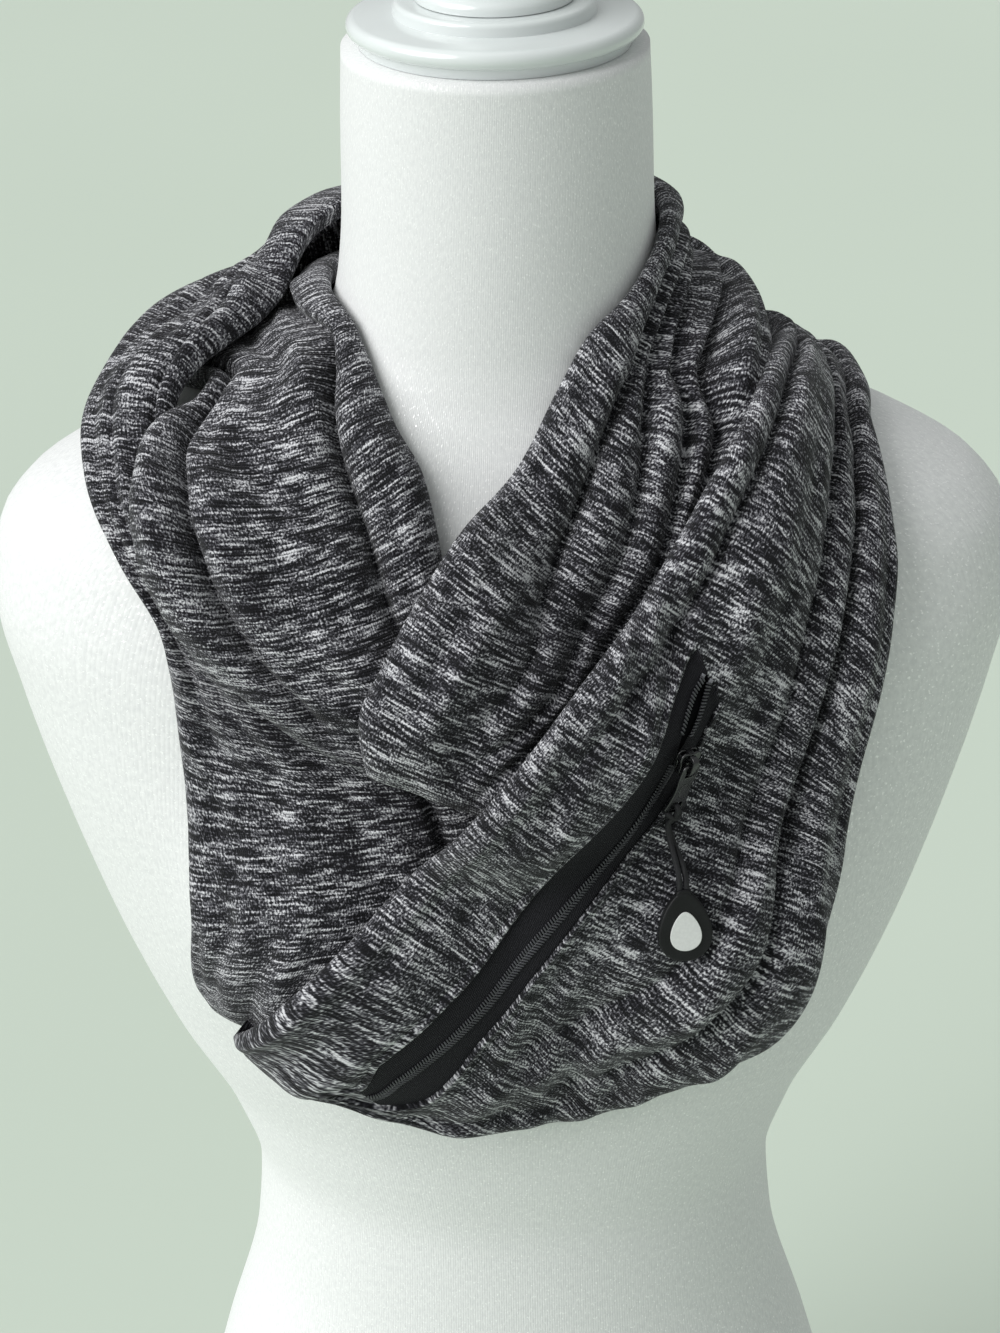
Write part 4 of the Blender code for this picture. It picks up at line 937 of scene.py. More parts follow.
@dataclass
class Run:
    """One long run of the scarf: a table of sections, laid in stretches and woven into one sheet."""

    name: str
    table: np.ndarray
    valleys: int
    creases: np.ndarray
    form: FormMap
    fine_along: float
    fine_across: int
    seed: int
    flat: tuple[float, float]
    zipped: bool = False
    laid: dict[str, Stretch] = field(default_factory=dict)

    def __post_init__(self) -> None:
        """Set out the section's profile: tuck, quarter arc, face, quarter arc, tuck."""
        self.last = len(self.table) - 1
        turns = np.radians(np.linspace(0, 90, 6)[:-1])
        under = [(TUCK, 0.0), (0.66 * TUCK, 0.0)]
        under += [(EDGE_RADIUS * (1 - math.sin(a)), EDGE_RADIUS * (1 - math.cos(a))) for a in turns]
        self.under = np.array(under)
        self.inside = slice(len(self.under), -len(self.under))

    def row(self, along: float) -> tuple[np.ndarray, np.ndarray, float, np.ndarray, np.ndarray]:
        """Edges, rises, share of what is below, valley places and depths at one section.

        Args:
            along: the section, whole or in between.

        Returns:
            The edges as (angle, drop), the rises, the share, the places and the depths.
        """
        values = curve_through(np.arange(len(self.table), dtype=float), self.table, along)[0]
        edges = np.array([[math.radians(angle), drop * MM] for angle, drop in values[:4].reshape(2, 2)])
        return edges, values[4:6] * MM, values[6], values[7:7 + self.valleys], values[7 + self.valleys:]

    def columns(self, along: float) -> np.ndarray:
        """Fractions across one section, closer at its edges, and at the slit where there is a zip.

        Args:
            along: the section, whole or in between.

        Returns:
            The fractions, from 0 to 1.
        """
        fine = np.linspace(0, 1, 600)
        density = 1 + 0.6 * bell(fine, 0.04) + 0.6 * bell(1 - fine, 0.04)
        if self.zipped:
            left, _, right = zip_line(along)
            near = sum(bell(fine - edge, 0.030) for edge in (left, right))
            density += 3.2 * near / (1 + math.exp((along - 8.6) / 0.5))
        far = np.concatenate([[0.0], np.cumsum((density[1:] + density[:-1]) / 2)])
        return np.interp(np.linspace(0, far[-1], self.fine_across), far, fine)

    def width(self, edges: np.ndarray) -> float:
        """Straight distance from edge to edge."""
        ends = self.form.place(edges[:, 0], edges[:, 1])
        return float(np.linalg.norm(ends[1] - ends[0]))

    def heights(self, along: float, fractions: np.ndarray) -> np.ndarray:
        """Height of the rolls across one section.

        Args:
            along: the section, whole or in between.
            fractions: the places across.

        Returns:
            The height at each fraction.
        """
        edges, rises, _, places, depths = self.row(along)
        knots = np.concatenate([[0.0], places, [1.0]])
        middles = (knots[1:] + knots[:-1]) / 2
        wide = np.diff(knots) * self.width(edges)
        crests = (rises[0] + (rises[1] - rises[0]) * middles) * np.clip(np.sqrt(wide / FULL_ROLL), 0.35, 1)
        floors = (1 - depths) * (crests[1:] + crests[:-1]) / 2
        floors = np.concatenate([[0.0], floors, [0.0]])
        deep = np.concatenate([[1.0], depths, [1.0]])
        roll = np.clip(np.searchsorted(knots, fractions, side="right") - 1, 0, len(wide) - 1)
        t = np.clip((fractions - knots[roll]) / (knots[roll + 1] - knots[roll]), 0, 1)
        ground = floors[roll] + (floors[roll + 1] - floors[roll]) * t
        steep = deep[roll] + (deep[roll + 1] - deep[roll]) * t
        arch = np.sin(np.pi * t) ** (1 - 0.5 * steep)
        from_end = min(along, self.last - along) / END_ROWS
        rounding = math.sqrt(max(0.0, 1 - (1 - min(1.0, from_end)) ** 2))
        return (ground + np.maximum(crests[roll] - ground, 0) * arch) * rounding

    def lay(self, node: str, first: float, last: float, support: Support) -> None:
        """Lay one stretch on what is below, and add it to the support.

        Args:
            node: the CAD node that it stands for.
            first: its first section.
            last: its last section.
            support: the height of the cloth already laid.
        """
        ground = support.smooth()
        made = Stretch(node, first, last)
        made.along = np.linspace(first, last, max(8, round((last - first) / self.fine_along)))
        if self.zipped and first == 0:
            fine = np.arange(0.0, ZIP_FINE_END, 0.6 * self.fine_along)
            rest = np.linspace(ZIP_FINE_END, last, round((last - ZIP_FINE_END) / self.fine_along))
            made.along = np.concatenate([fine, rest])
        angle, drop, base, rise, face = [], [], [], [], []
        for along in made.along:
            edges, _, share, _, _ = self.row(along)
            width = self.width(edges)
            sides = self.under[:, 0] / width
            face.append(self.columns(along))
            fractions = np.concatenate([sides, face[-1], 1 - sides[::-1]])
            flat = np.concatenate([self.under[:, 1], EDGE_RADIUS + self.heights(along, face[-1]),
                                   self.under[::-1, 1]])
            angle.append(edges[0, 0] + (edges[1, 0] - edges[0, 0]) * fractions)
            drop.append(edges[0, 1] + (edges[1, 1] - edges[0, 1]) * fractions)
            base.append(REST + share * support.read(ground, angle[-1], drop[-1]))
            rise.append(flat)
        made.angle, made.drop = np.array(angle), np.array(drop)
        made.base, made.rise, made.face = np.array(base), np.array(rise), np.array(face)
        self.laid[node] = made
        inside = (slice(None), self.inside)
        support.add(made.angle[inside], made.drop[inside], (made.base + made.rise)[inside])

    def weave(self) -> None:
        """Join the stretches into one grid, soften it, and lay the creases and the ripples on it."""
        parts = sorted(self.laid.values(), key=lambda part: part.first)

        def woven(grids: Sequence[np.ndarray]) -> np.ndarray:
            """One grid of all stretches, each without the first row that it shares with the last one."""
            return np.concatenate([grid[min(index, 1):] for index, grid in enumerate(grids)])

        self.along = woven([part.along for part in parts])
        self.angle = woven([part.angle for part in parts])
        self.drop = woven([part.drop for part in parts])
        self.face = woven([part.face for part in parts])
        base = woven([part.base for part in parts])
        rise = woven([part.rise for part in parts])
        base = soften(soften(base, GROUND_PASSES[0], 0), GROUND_PASSES[1], 1)
        face = rise[:, self.inside]
        fine = soften(soften(face, FACE_PASSES[1], 1), FACE_PASSES[0], 0)
        if self.zipped:
            soft = soften(soften(face, SOFT_PASSES[1], 1), SOFT_PASSES[0], 0)
            share = bell(self.along - SOFT_SECTION, SOFT_SECTIONS)[:, None]
            fine = fine + SOFT_SHARE * share * (np.minimum(soft, fine) - fine)
        rise[:, self.inside] = fine
        self.lift = base + rise
        self.points = self.form.lifted(self.angle, self.drop, self.lift)
        self.measure()
        self.lift[:, self.inside] += self.gathered() + self.calm() * (self.creased() + self.rippled())
        if self.zipped:
            self.lift[:, self.inside] += self.slit()
        self.points = self.form.lifted(self.angle, self.drop, self.lift)

    def measure(self) -> None:
        """Distances on the cloth: along the run on average, and across from its middle line."""
        steps = np.linalg.norm(np.diff(self.points, axis=0), axis=2).mean(axis=1)
        far = np.concatenate([[0.0], np.cumsum(steps)])
        self.far_along = np.repeat(far[:, None], self.points.shape[1], axis=1)
        steps = np.linalg.norm(np.diff(self.points, axis=1), axis=2)
        zero = np.zeros((steps.shape[0], 1))
        self.far_across = np.concatenate([zero, np.cumsum(steps, axis=1)], axis=1)
        middle = self.far_across[:, self.far_across.shape[1] // 2]
        self.far_across -= middle[:, None]
        self.streak = self.far_along.copy()
        if self.zipped:
            x, y, z = np.moveaxis(self.form.place(self.angle, self.drop), 2, 0)
            round_form = np.arctan2(x, -y) * STREAK_RADIUS
            flat = z * math.cos(STREAK_SLOPE) + round_form * math.sin(STREAK_SLOPE)
            at_blend = int(np.searchsorted(self.along, STREAK_BLEND))
            flat += (self.far_along[at_blend] - flat[at_blend]).mean()
            share = 1 / (1 + np.exp((self.along - STREAK_BLEND) / STREAK_FADE))
            self.streak += share[:, None] * (flat - self.far_along)

    def creased(self) -> np.ndarray:
        """Height of the listed creases over the face: below zero in a valley, above on a ridge.

        Returns:
            The height at each point of the face.
        """
        across = self.far_across[:, self.inside]
        made = np.zeros_like(across)
        for first, last, start, end, bow, wide, deep in self.creases:
            t = (self.along - first) / (last - first)
            shown = (t > 0) & (t < 1)
            where = start + (end - start) * t + bow * np.sin(np.pi * np.clip(t, 0, 1))
            middle = self.distance(where)
            fade = np.where(shown, np.sin(np.pi * np.clip(t, 0, 1)) ** 0.6, 0.0)
            made += 2.0 * deep * MM * fade[:, None] * bell(across - middle[:, None], wide * MM)
        return made

    def gathered(self) -> np.ndarray:
        """The deep narrow line where two rolls press together, along each valley of the table.

        Returns:
            The height at each point of the face.
        """
        across = self.far_across[:, self.inside]
        rows = [self.row(along) for along in self.along]
        made = np.zeros_like(across)
        for index in range(self.valleys):
            where = np.array([row[3][index] for row in rows])
            depth = np.array([row[4][index] for row in rows])
            end = np.clip(np.minimum(self.along, self.last - self.along) / END_ROWS, 0, 1)
            middle = self.distance(where)
            valley = bell(across - middle[:, None], GATHER_WIDTH)
            made -= GATHER_DEPTH * (end * depth ** 1.5)[:, None] * valley
        return made

    def rippled(self) -> np.ndarray:
        """Low uneven waves that run mostly along the strand, from a fixed seed.

        Returns:
            The height at each point of the face.
        """
        along, across = self.far_along[:, self.inside], self.far_across[:, self.inside]
        chance = np.random.default_rng(self.seed)
        made = np.zeros_like(across)
        for _ in range(RIPPLES):
            length = chance.uniform(0.035, 0.120)
            width = chance.uniform(0.014, 0.040)
            lean = chance.uniform(-0.35, 0.35)
            phase = chance.uniform(0, 2 * np.pi)
            size = RIPPLE_SIZE * (width / RIPPLE_UNIT)
            made += size * np.sin(2 * np.pi * (across / width + lean * along / 0.03 + along / length) + phase)
        return made * np.clip(np.minimum(self.face, 1 - self.face) / 0.06, 0, 1)

    def distance(self, fractions: np.ndarray) -> np.ndarray:
        """Distance across the cloth of one fraction in each row."""
        rows = zip(fractions, self.face, self.far_across[:, self.inside])
        return np.array([np.interp(fraction, face, across) for fraction, face, across in rows])

    def slit_shares(self) -> tuple[np.ndarray, np.ndarray, np.ndarray]:
        """How far each point lies outside the slit's left and right edges, and how open the slit is there.

        Returns:
            The distance outside the left edge, that outside the right one, and the opening.
        """
        across = self.far_across[:, self.inside]
        lines = np.array([zip_line(along) for along in self.along])
        left, right = self.distance(lines[:, 0]), self.distance(lines[:, 2])
        end = np.clip((ZIP_UPPER_END + SLIT_ABOVE - self.along) / SLIT_HEAD, 0, 1)
        end *= np.clip((self.along - ZIP_LOWER_END + SLIT_BELOW) / SLIT_FOOT, 0, 1)
        half = (right - left) / 2 * np.sqrt(1 - (1 - end) ** 2)
        middle = (right + left) / 2
        return middle[:, None] - half[:, None] - across, across - middle[:, None] - half[:, None], end

    def calm(self) -> np.ndarray:
        """Share of the creases and ripples that is kept: less beside the stiff zip.

        Returns:
            The share at each point of the face.
        """
        if not self.zipped:
            return np.ones_like(self.face)
        left, right, end = self.slit_shares()
        away = np.maximum(left, right)
        near = np.clip(1 - away / CALM_REACH, 0, 1) * end[:, None]
        return 1 - CALM_SHARE * near * near * (3 - 2 * near)

    def slit(self) -> np.ndarray:
        """The slit's folded edges: a raised welt on each side, and the cloth gone down between them.

        Returns:
            The height at each point of the face.
        """
        left, right, end = self.slit_shares()
        outside = np.maximum(left, right)
        step = np.clip(0.5 - outside / (1.1 * MM), 0, 1)
        down = -1.5 * MM * step * step * (3 - 2 * step)
        welt = 1.0 * MM * bell(outside - 1.5 * MM, 1.5 * MM) * (outside > 0.4 * MM)
        seam = -0.45 * MM * bell(outside - 4.4 * MM, 0.8 * MM)
        return (down + welt + seam) * np.clip(end * 4, 0, 1)[:, None]

    def surface(self, along: float, fraction: float) -> np.ndarray:
        """Point of the finished face at a section and a fraction across.

        Args:
            along: the section, whole or in between.
            fraction: how far across.

        Returns:
            The point.
        """
        face = self.points[:, self.inside]
        i = np.interp(along, self.along, np.arange(len(self.along)))
        i0 = min(int(i), len(self.along) - 2)
        sides = [np.array([np.interp(fraction, self.face[row], face[row, :, axis]) for axis in range(3)])
                 for row in (i0, i0 + 1)]
        return sides[0] + (i - i0) * (sides[1] - sides[0])

    def build(self, finish: bpy.types.Material) -> bpy.types.Object:
        """Args:
            finish: the cloth's material.

        Returns:
            The piece.
        """
        turned = [self.form.lifted(self.angle[end], self.drop[end], np.full_like(self.angle[end], REST))
                  for end in (0, -1)]
        rows = np.concatenate([turned[0][None], self.points, turned[1][None]])
        v = np.concatenate([self.streak[:1] - 0.004, self.streak, self.streak[-1:] + 0.004])
        u = np.concatenate([self.far_across[:1], self.far_across, self.far_across[-1:]])
        uvs = np.stack([v, u], -1).reshape(-1, 2)
        faces = grid_faces(rows.shape[0], rows.shape[1])
        across = self.far_across[:, -1] - self.far_across[:, 0]
        LOG.info("%s: %.3f m along its middle, %.3f m across on average", self.name,
                 self.far_along[-1, self.far_along.shape[1] // 2], across.mean())
        piece = add_mesh(self.name, rows.reshape(-1, 3), faces, finish, uvs)
        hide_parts(*self.laid)
        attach(piece, BODY)
        return piece


def frame_at(origin: Sequence[float], up: Sequence[float], out: Sequence[float]) -> Matrix:
    """A frame with Y up a hanging piece, Z out of the cloth and X across.

    Args:
        origin: where it stands.
        up: roughly up the piece.
        out: straight out of the cloth.

    Returns:
        The frame.
    """
    z = Vector(out).normalized()
    y = (Vector(up) - Vector(up).dot(z) * z).normalized()
    made = Matrix((y.cross(z), y, z)).transposed().to_4x4()
    made.translation = Vector(origin)
    return made


def node_points(frame: dict, node: str) -> np.ndarray:
    """Every vertex of a CAD node."""
    return np.array([vertex.co for vertex in frame["nodes"][node].data.vertices])


def node_frame(frame: dict, node: str, across: Sequence[float] | None = None) -> Matrix:
    """The frame of a flat CAD piece: Z through its thickness, outwards, and Y up its length.

    Args:
        frame: the loaded frame.
        node: the CAD node.
        across: its X axis, if that is known.

    Returns:
        A frame in the middle of the piece.
    """
    points = node_points(frame, node)
    middle = points.mean(0)
    _, axes = np.linalg.eigh(np.cov((points - middle).T))
    out = axes[:, 0]
    if out @ np.array([middle[0], middle[1], 0.0]) < 0:
        out = -out
    up = axes[:, 2] if across is None else np.cross(out, np.array(across))
    if up[2] < 0:
        up = -up
    made = frame_at(middle, up, out)
    local = (points - middle) @ np.array(made.to_3x3())
    made.translation = made @ Vector((local.max(0) + local.min(0)) / 2)
    return made


def baked(made: bpy.types.Object, finish: bpy.types.Material) -> bpy.types.Object:
    """A piece's shape made into plain mesh, standing in the model's own frame.

    Args:
        made: the curve or mesh with its modifiers.
        finish: its material.

    Returns:
        The mesh that takes its place.
    """
    graph = bpy.context.evaluated_depsgraph_get()
    mesh = bpy.data.meshes.new_from_object(made.evaluated_get(graph))
    mesh.transform(made.matrix_world)
    name = made.name
    bpy.data.objects.remove(made)
    mesh.materials.clear()
    mesh.materials.append(finish)
    mesh.shade_smooth()
    mesh.set_sharp_from_angle(angle=math.radians(50))
    piece = bpy.data.objects.new(name, mesh)
    bpy.context.scene.collection.objects.link(piece)
    return piece


def plate(name: str, outlines: Sequence, thickness: float, bevel: float, place: Matrix,
          finish: bpy.types.Material) -> bpy.types.Object:
    """A flat piece with rounded edges, cut to an outline with any further outlines as holes.

    Args:
        name: the piece's name.
        outlines: its outline, then its holes, each a list of (x, y).
        thickness: how thick it is in all.
        bevel: radius of its edges.
        place: the frame it lies in, its middle at the origin.
        finish: its material.

    Returns:
        The piece.
    """
    curve = bpy.data.curves.new(name, "CURVE")
    curve.dimensions = "2D"
    curve.fill_mode = "BOTH"
    curve.extrude = thickness / 2 - bevel
    curve.bevel_depth = bevel
    curve.bevel_resolution = 2
    curve.offset = -bevel
    for outline in outlines:
        spline = curve.splines.new("POLY")
        spline.points.add(len(outline) - 1)
        for point, (x, y) in zip(spline.points, outline):
            point.co = (x, y, 0.0, 1.0)
        spline.use_cyclic_u = True
    made = bpy.data.objects.new(name, curve)
    made.matrix_world = place
    bpy.context.scene.collection.objects.link(made)
    bpy.context.view_layer.update()
    return baked(made, finish)


def rounded(corners: Sequence, steps: int = 3) -> list[tuple[float, float]]:
    """An outline with its corners cut round.

    Args:
        corners: the outline's corners.
        steps: how many times each corner is cut.

    Returns:
        The rounder outline.
    """
    points = np.array(corners, float)
    for _ in range(steps):
        after = np.roll(points, -1, axis=0)
        points = np.stack([points * 0.78 + after * 0.22, points * 0.22 + after * 0.78], 1).reshape(-1, 2)
    return [tuple(point) for point in points]


def tube(name: str, route: np.ndarray, radius: float, sides: int, finish: bpy.types.Material,
         relief: Callable[[np.ndarray, float], np.ndarray] | None = None) -> bpy.types.Object:
    """A round cord along a route of points.

    Args:
        name: the piece's name.
        route: its centreline.
        radius: of the cord.
        sides: points in each ring.
        finish: its material.
        relief: how far the surface stands out, by angle round the cord and distance along it.

    Returns:
        The piece.
    """
    ahead = unit(np.gradient(route, axis=0))
    far = np.concatenate([[0], np.cumsum(np.linalg.norm(np.diff(route, axis=0), axis=1))])
    side = unit(np.cross(ahead[0], (0.31, 0.22, 0.93)))
    turns = np.linspace(0, 2 * np.pi, sides, endpoint=False)
    rings = []
    for place, forward, along in zip(route, ahead, far):
        side = unit(side - (side @ forward) * forward)
        other = np.cross(forward, side)
        wide = np.full(sides, radius) if relief is None else radius + relief(turns, along)
        rings.append(place + np.cos(turns)[:, None] * side * wide[:, None]
                     + np.sin(turns)[:, None] * other * wide[:, None])
    return add_mesh(name, np.concatenate(rings), ring_faces(len(rings), sides), finish)


def smooth_route(points: Sequence, count: int) -> np.ndarray:
    """Places along a smooth curve through given points.

    Args:
        points: the given places.
        count: how many places to read.

    Returns:
        The places read, at even distances.
    """
    points = np.array(points, float)
    runs = np.concatenate([[0], np.cumsum(np.linalg.norm(np.diff(points, axis=0), axis=1))])
    return curve_through(runs, points, np.linspace(0, runs[-1], count))


def settle(piece: bpy.types.Object, body: str, slot: str, *nodes: str) -> bpy.types.Object:
    """Tie a piece to its body, and hide the CAD nodes that it stands for.

    Args:
        piece: the piece.
        body: the body that it rides on.
        slot: its slot; not used.
        nodes: the CAD nodes, if it stands for any.

    Returns:
        The piece.
    """
    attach(piece, body)
    if nodes:
        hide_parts(*nodes)
    return piece


@dataclass
class LoopScarf:
    """The two runs of the scarf, laid over each other in six stretches."""

    form: FormMap
    fine_one: tuple[float, int] = (0.085, 104)
    fine_two: tuple[float, int] = (0.085, 186)
    flat_one: tuple[float, float] = (0.117, 0.90)
    flat_two: tuple[float, float] = (0.14, 1.02)

    def lay(self) -> None:
        """Lay every stretch on the ones below it, then join those of each run."""
        self.support = Support()
        self.one = Run("run_one_cloth", RUN_ONE, 4, CREASES_ONE, self.form, *self.fine_one, 7, self.flat_one)
        self.two = Run("run_two_cloth", RUN_TWO, 3, CREASES_TWO, self.form, *self.fine_two, 19, self.flat_two,
                       zipped=True)
        order = [
            ("outer_left", self.one, CUT_LEFT_SHOULDER, self.one.last),
            ("inner_left", self.two, CUT_LEFT_NECK, self.two.last),
            ("back_lower", self.two, CUT_RIGHT_SHOULDER, CUT_LEFT_NECK),
            ("inner_right", self.one, 0, CUT_RIGHT_NECK),
            ("back_upper", self.one, CUT_RIGHT_NECK, CUT_LEFT_SHOULDER),
            ("outer_right", self.two, 0, CUT_RIGHT_SHOULDER),
        ]
        for node, run, first, last in order:
            run.lay(node, first, last, self.support)
        self.one.weave()
        self.two.weave()

    def build(self, finish: bpy.types.Material) -> list[bpy.types.Object]:
        """Make the two sheets."""
        return [self.one.build(finish), self.two.build(finish)]


@dataclass
class DressForm:
    """The limbless form: knitted cover, oval base plate, turned neck cap and finial."""

    sides: int = 160
    plate_half: tuple[float, float] = (0.140, 0.104)
    plate_height: float = 0.018
    plate_round: float = 0.004
    cap_top: float = 0.7880
    knob_centre: float = 0.8240
    knob_radius: float = 0.0270

    def cover(self, finish: bpy.types.Material) -> bpy.types.Object:
        """The cover, drawn tight over the bust from the base plate to the neck.

        Args:
            finish: the knitted cover.

        Returns:
            The piece.
        """
        heights = np.concatenate([[FORM[0, 0] + 0.0012], np.linspace(0.022, 0.60, 118),
                                  np.linspace(0.603, 0.70, 46), np.linspace(0.704, FORM_TOP, 18)])
        angles = np.linspace(-np.pi, np.pi, self.sides + 1)
        rings = []
        for height in heights:
            radius = form_radius(angles, np.full_like(angles, height))
            rings.append(np.stack([radius * np.sin(angles), -radius * np.cos(angles),
                                   np.full_like(angles, height)], -1))
        rings = np.array(rings)
        fall = np.linalg.norm(np.diff(rings, axis=0), axis=2)
        v = np.concatenate([np.zeros((1, rings.shape[1])), np.cumsum(fall, axis=0)])
        u = np.broadcast_to(angles * 0.145, v.shape)
        hem = rings[:1] * np.array([0.985, 0.985, 1.0]) - np.array([0, 0, 0.0010])
        collar = rings[-1:] * np.array([0.86, 0.86, 1.0]) + np.array([0, 0, 0.0001])
        points = np.concatenate([hem, rings, collar])
        uvs = np.stack([np.concatenate([u[:1], u, u[-1:]]),
                        np.concatenate([v[:1] - 0.002, v, v[-1:] + 0.008])], -1)
        faces = grid_faces(points.shape[0], points.shape[1])
        piece = add_mesh("form_cover", points.reshape(-1, 3), faces, finish, uvs.reshape(-1, 2))
        settle(piece, BODY, "form_cover", "dress_form")
        return piece

    def turned(self, name: str, profile: Sequence, finish: bpy.types.Material,
               scale: tuple[float, float] = (1.0, 1.0)) -> bpy.types.Object:
        """A turned piece.

        Args:
            name: the piece's name.
            profile: (radius, height) from top to bottom, both ends on the axis.
            finish: its material.
            scale: along X and Y, for an oval.

        Returns:
            The piece.
        """
        turns = np.linspace(0, 2 * np.pi, self.sides, endpoint=False)
        rings = [np.stack([radius * np.sin(turns) * scale[0], -radius * np.cos(turns) * scale[1],
                           np.full_like(turns, height)], -1) for radius, height in reversed(profile)]
        piece = add_mesh(name, np.concatenate(rings), ring_faces(len(rings), self.sides), finish)
        piece.data.set_sharp_from_angle(angle=math.radians(42))
        return piece

    @staticmethod
    def arc(centre: tuple[float, float], radius: float, first: float, last: float,
            count: int) -> list[tuple[float, float]]:
        """Points of (radius, height) on an arc, angles in degrees from +X up."""
        turns = np.radians(np.linspace(first, last, count))
        return [(centre[0] + radius * math.cos(a), centre[1] + radius * math.sin(a)) for a in turns]

    def build(self, cover: bpy.types.Material, paint: bpy.types.Material) -> list[bpy.types.Object]:
        """Make the form's pieces.

        Args:
            cover: the knitted cover.
            paint: the gloss white.

        Returns:
            The pieces.
        """
        made = [self.cover(cover)]
        edge = self.plate_round / self.plate_half[0]
        low = self.plate_height - self.plate_round
        plate_profile = [(0.02, self.plate_height)]
        plate_profile += [(1 - edge + edge * math.cos(a), low + self.plate_round * math.sin(a))
                          for a in np.radians(np.linspace(90, 0, 8))]
        plate_profile += [(1.0, 0.0016), (0.994, 0.0), (0.02, 0.0)]
        base = self.turned("oval_plate", plate_profile, paint, self.plate_half)
        made.append(settle(base, BODY, "gloss_paint", "base_plate"))
        rim, under = 0.0535, FORM_TOP + 0.3 * MM
        cap = [(0.001, self.cap_top), (0.0330, self.cap_top)]
        cap += self.arc((0.0345, self.cap_top - 0.0020), 0.0020, 80, 0, 7) + [(0.0368, 0.7832)]
        cap += self.arc((rim - 0.0035, 0.7790), 0.0035, 85, -80, 12) + [(0.0490, under), (0.001, under)]
        made.append(settle(self.turned("turned_cap", cap, paint), BODY, "gloss_paint", "neck_cap"))
        foot = self.cap_top + 0.3 * MM
        finial = [(0.0008, self.knob_centre + self.knob_radius)]
        finial += self.arc((0.0, self.knob_centre), self.knob_radius, 86, -50, 30)
        finial += [(0.0168, 0.8000), (0.0178, 0.7970), (0.0205, 0.7948), (0.0250, 0.7936), (0.0278, 0.7924),
                   (0.0289, 0.7905), (0.0287, foot), (0.001, foot)]
        made.append(settle(self.turned("turned_finial", finial, paint), BODY, "gloss_paint", "neck_finial"))
        return made


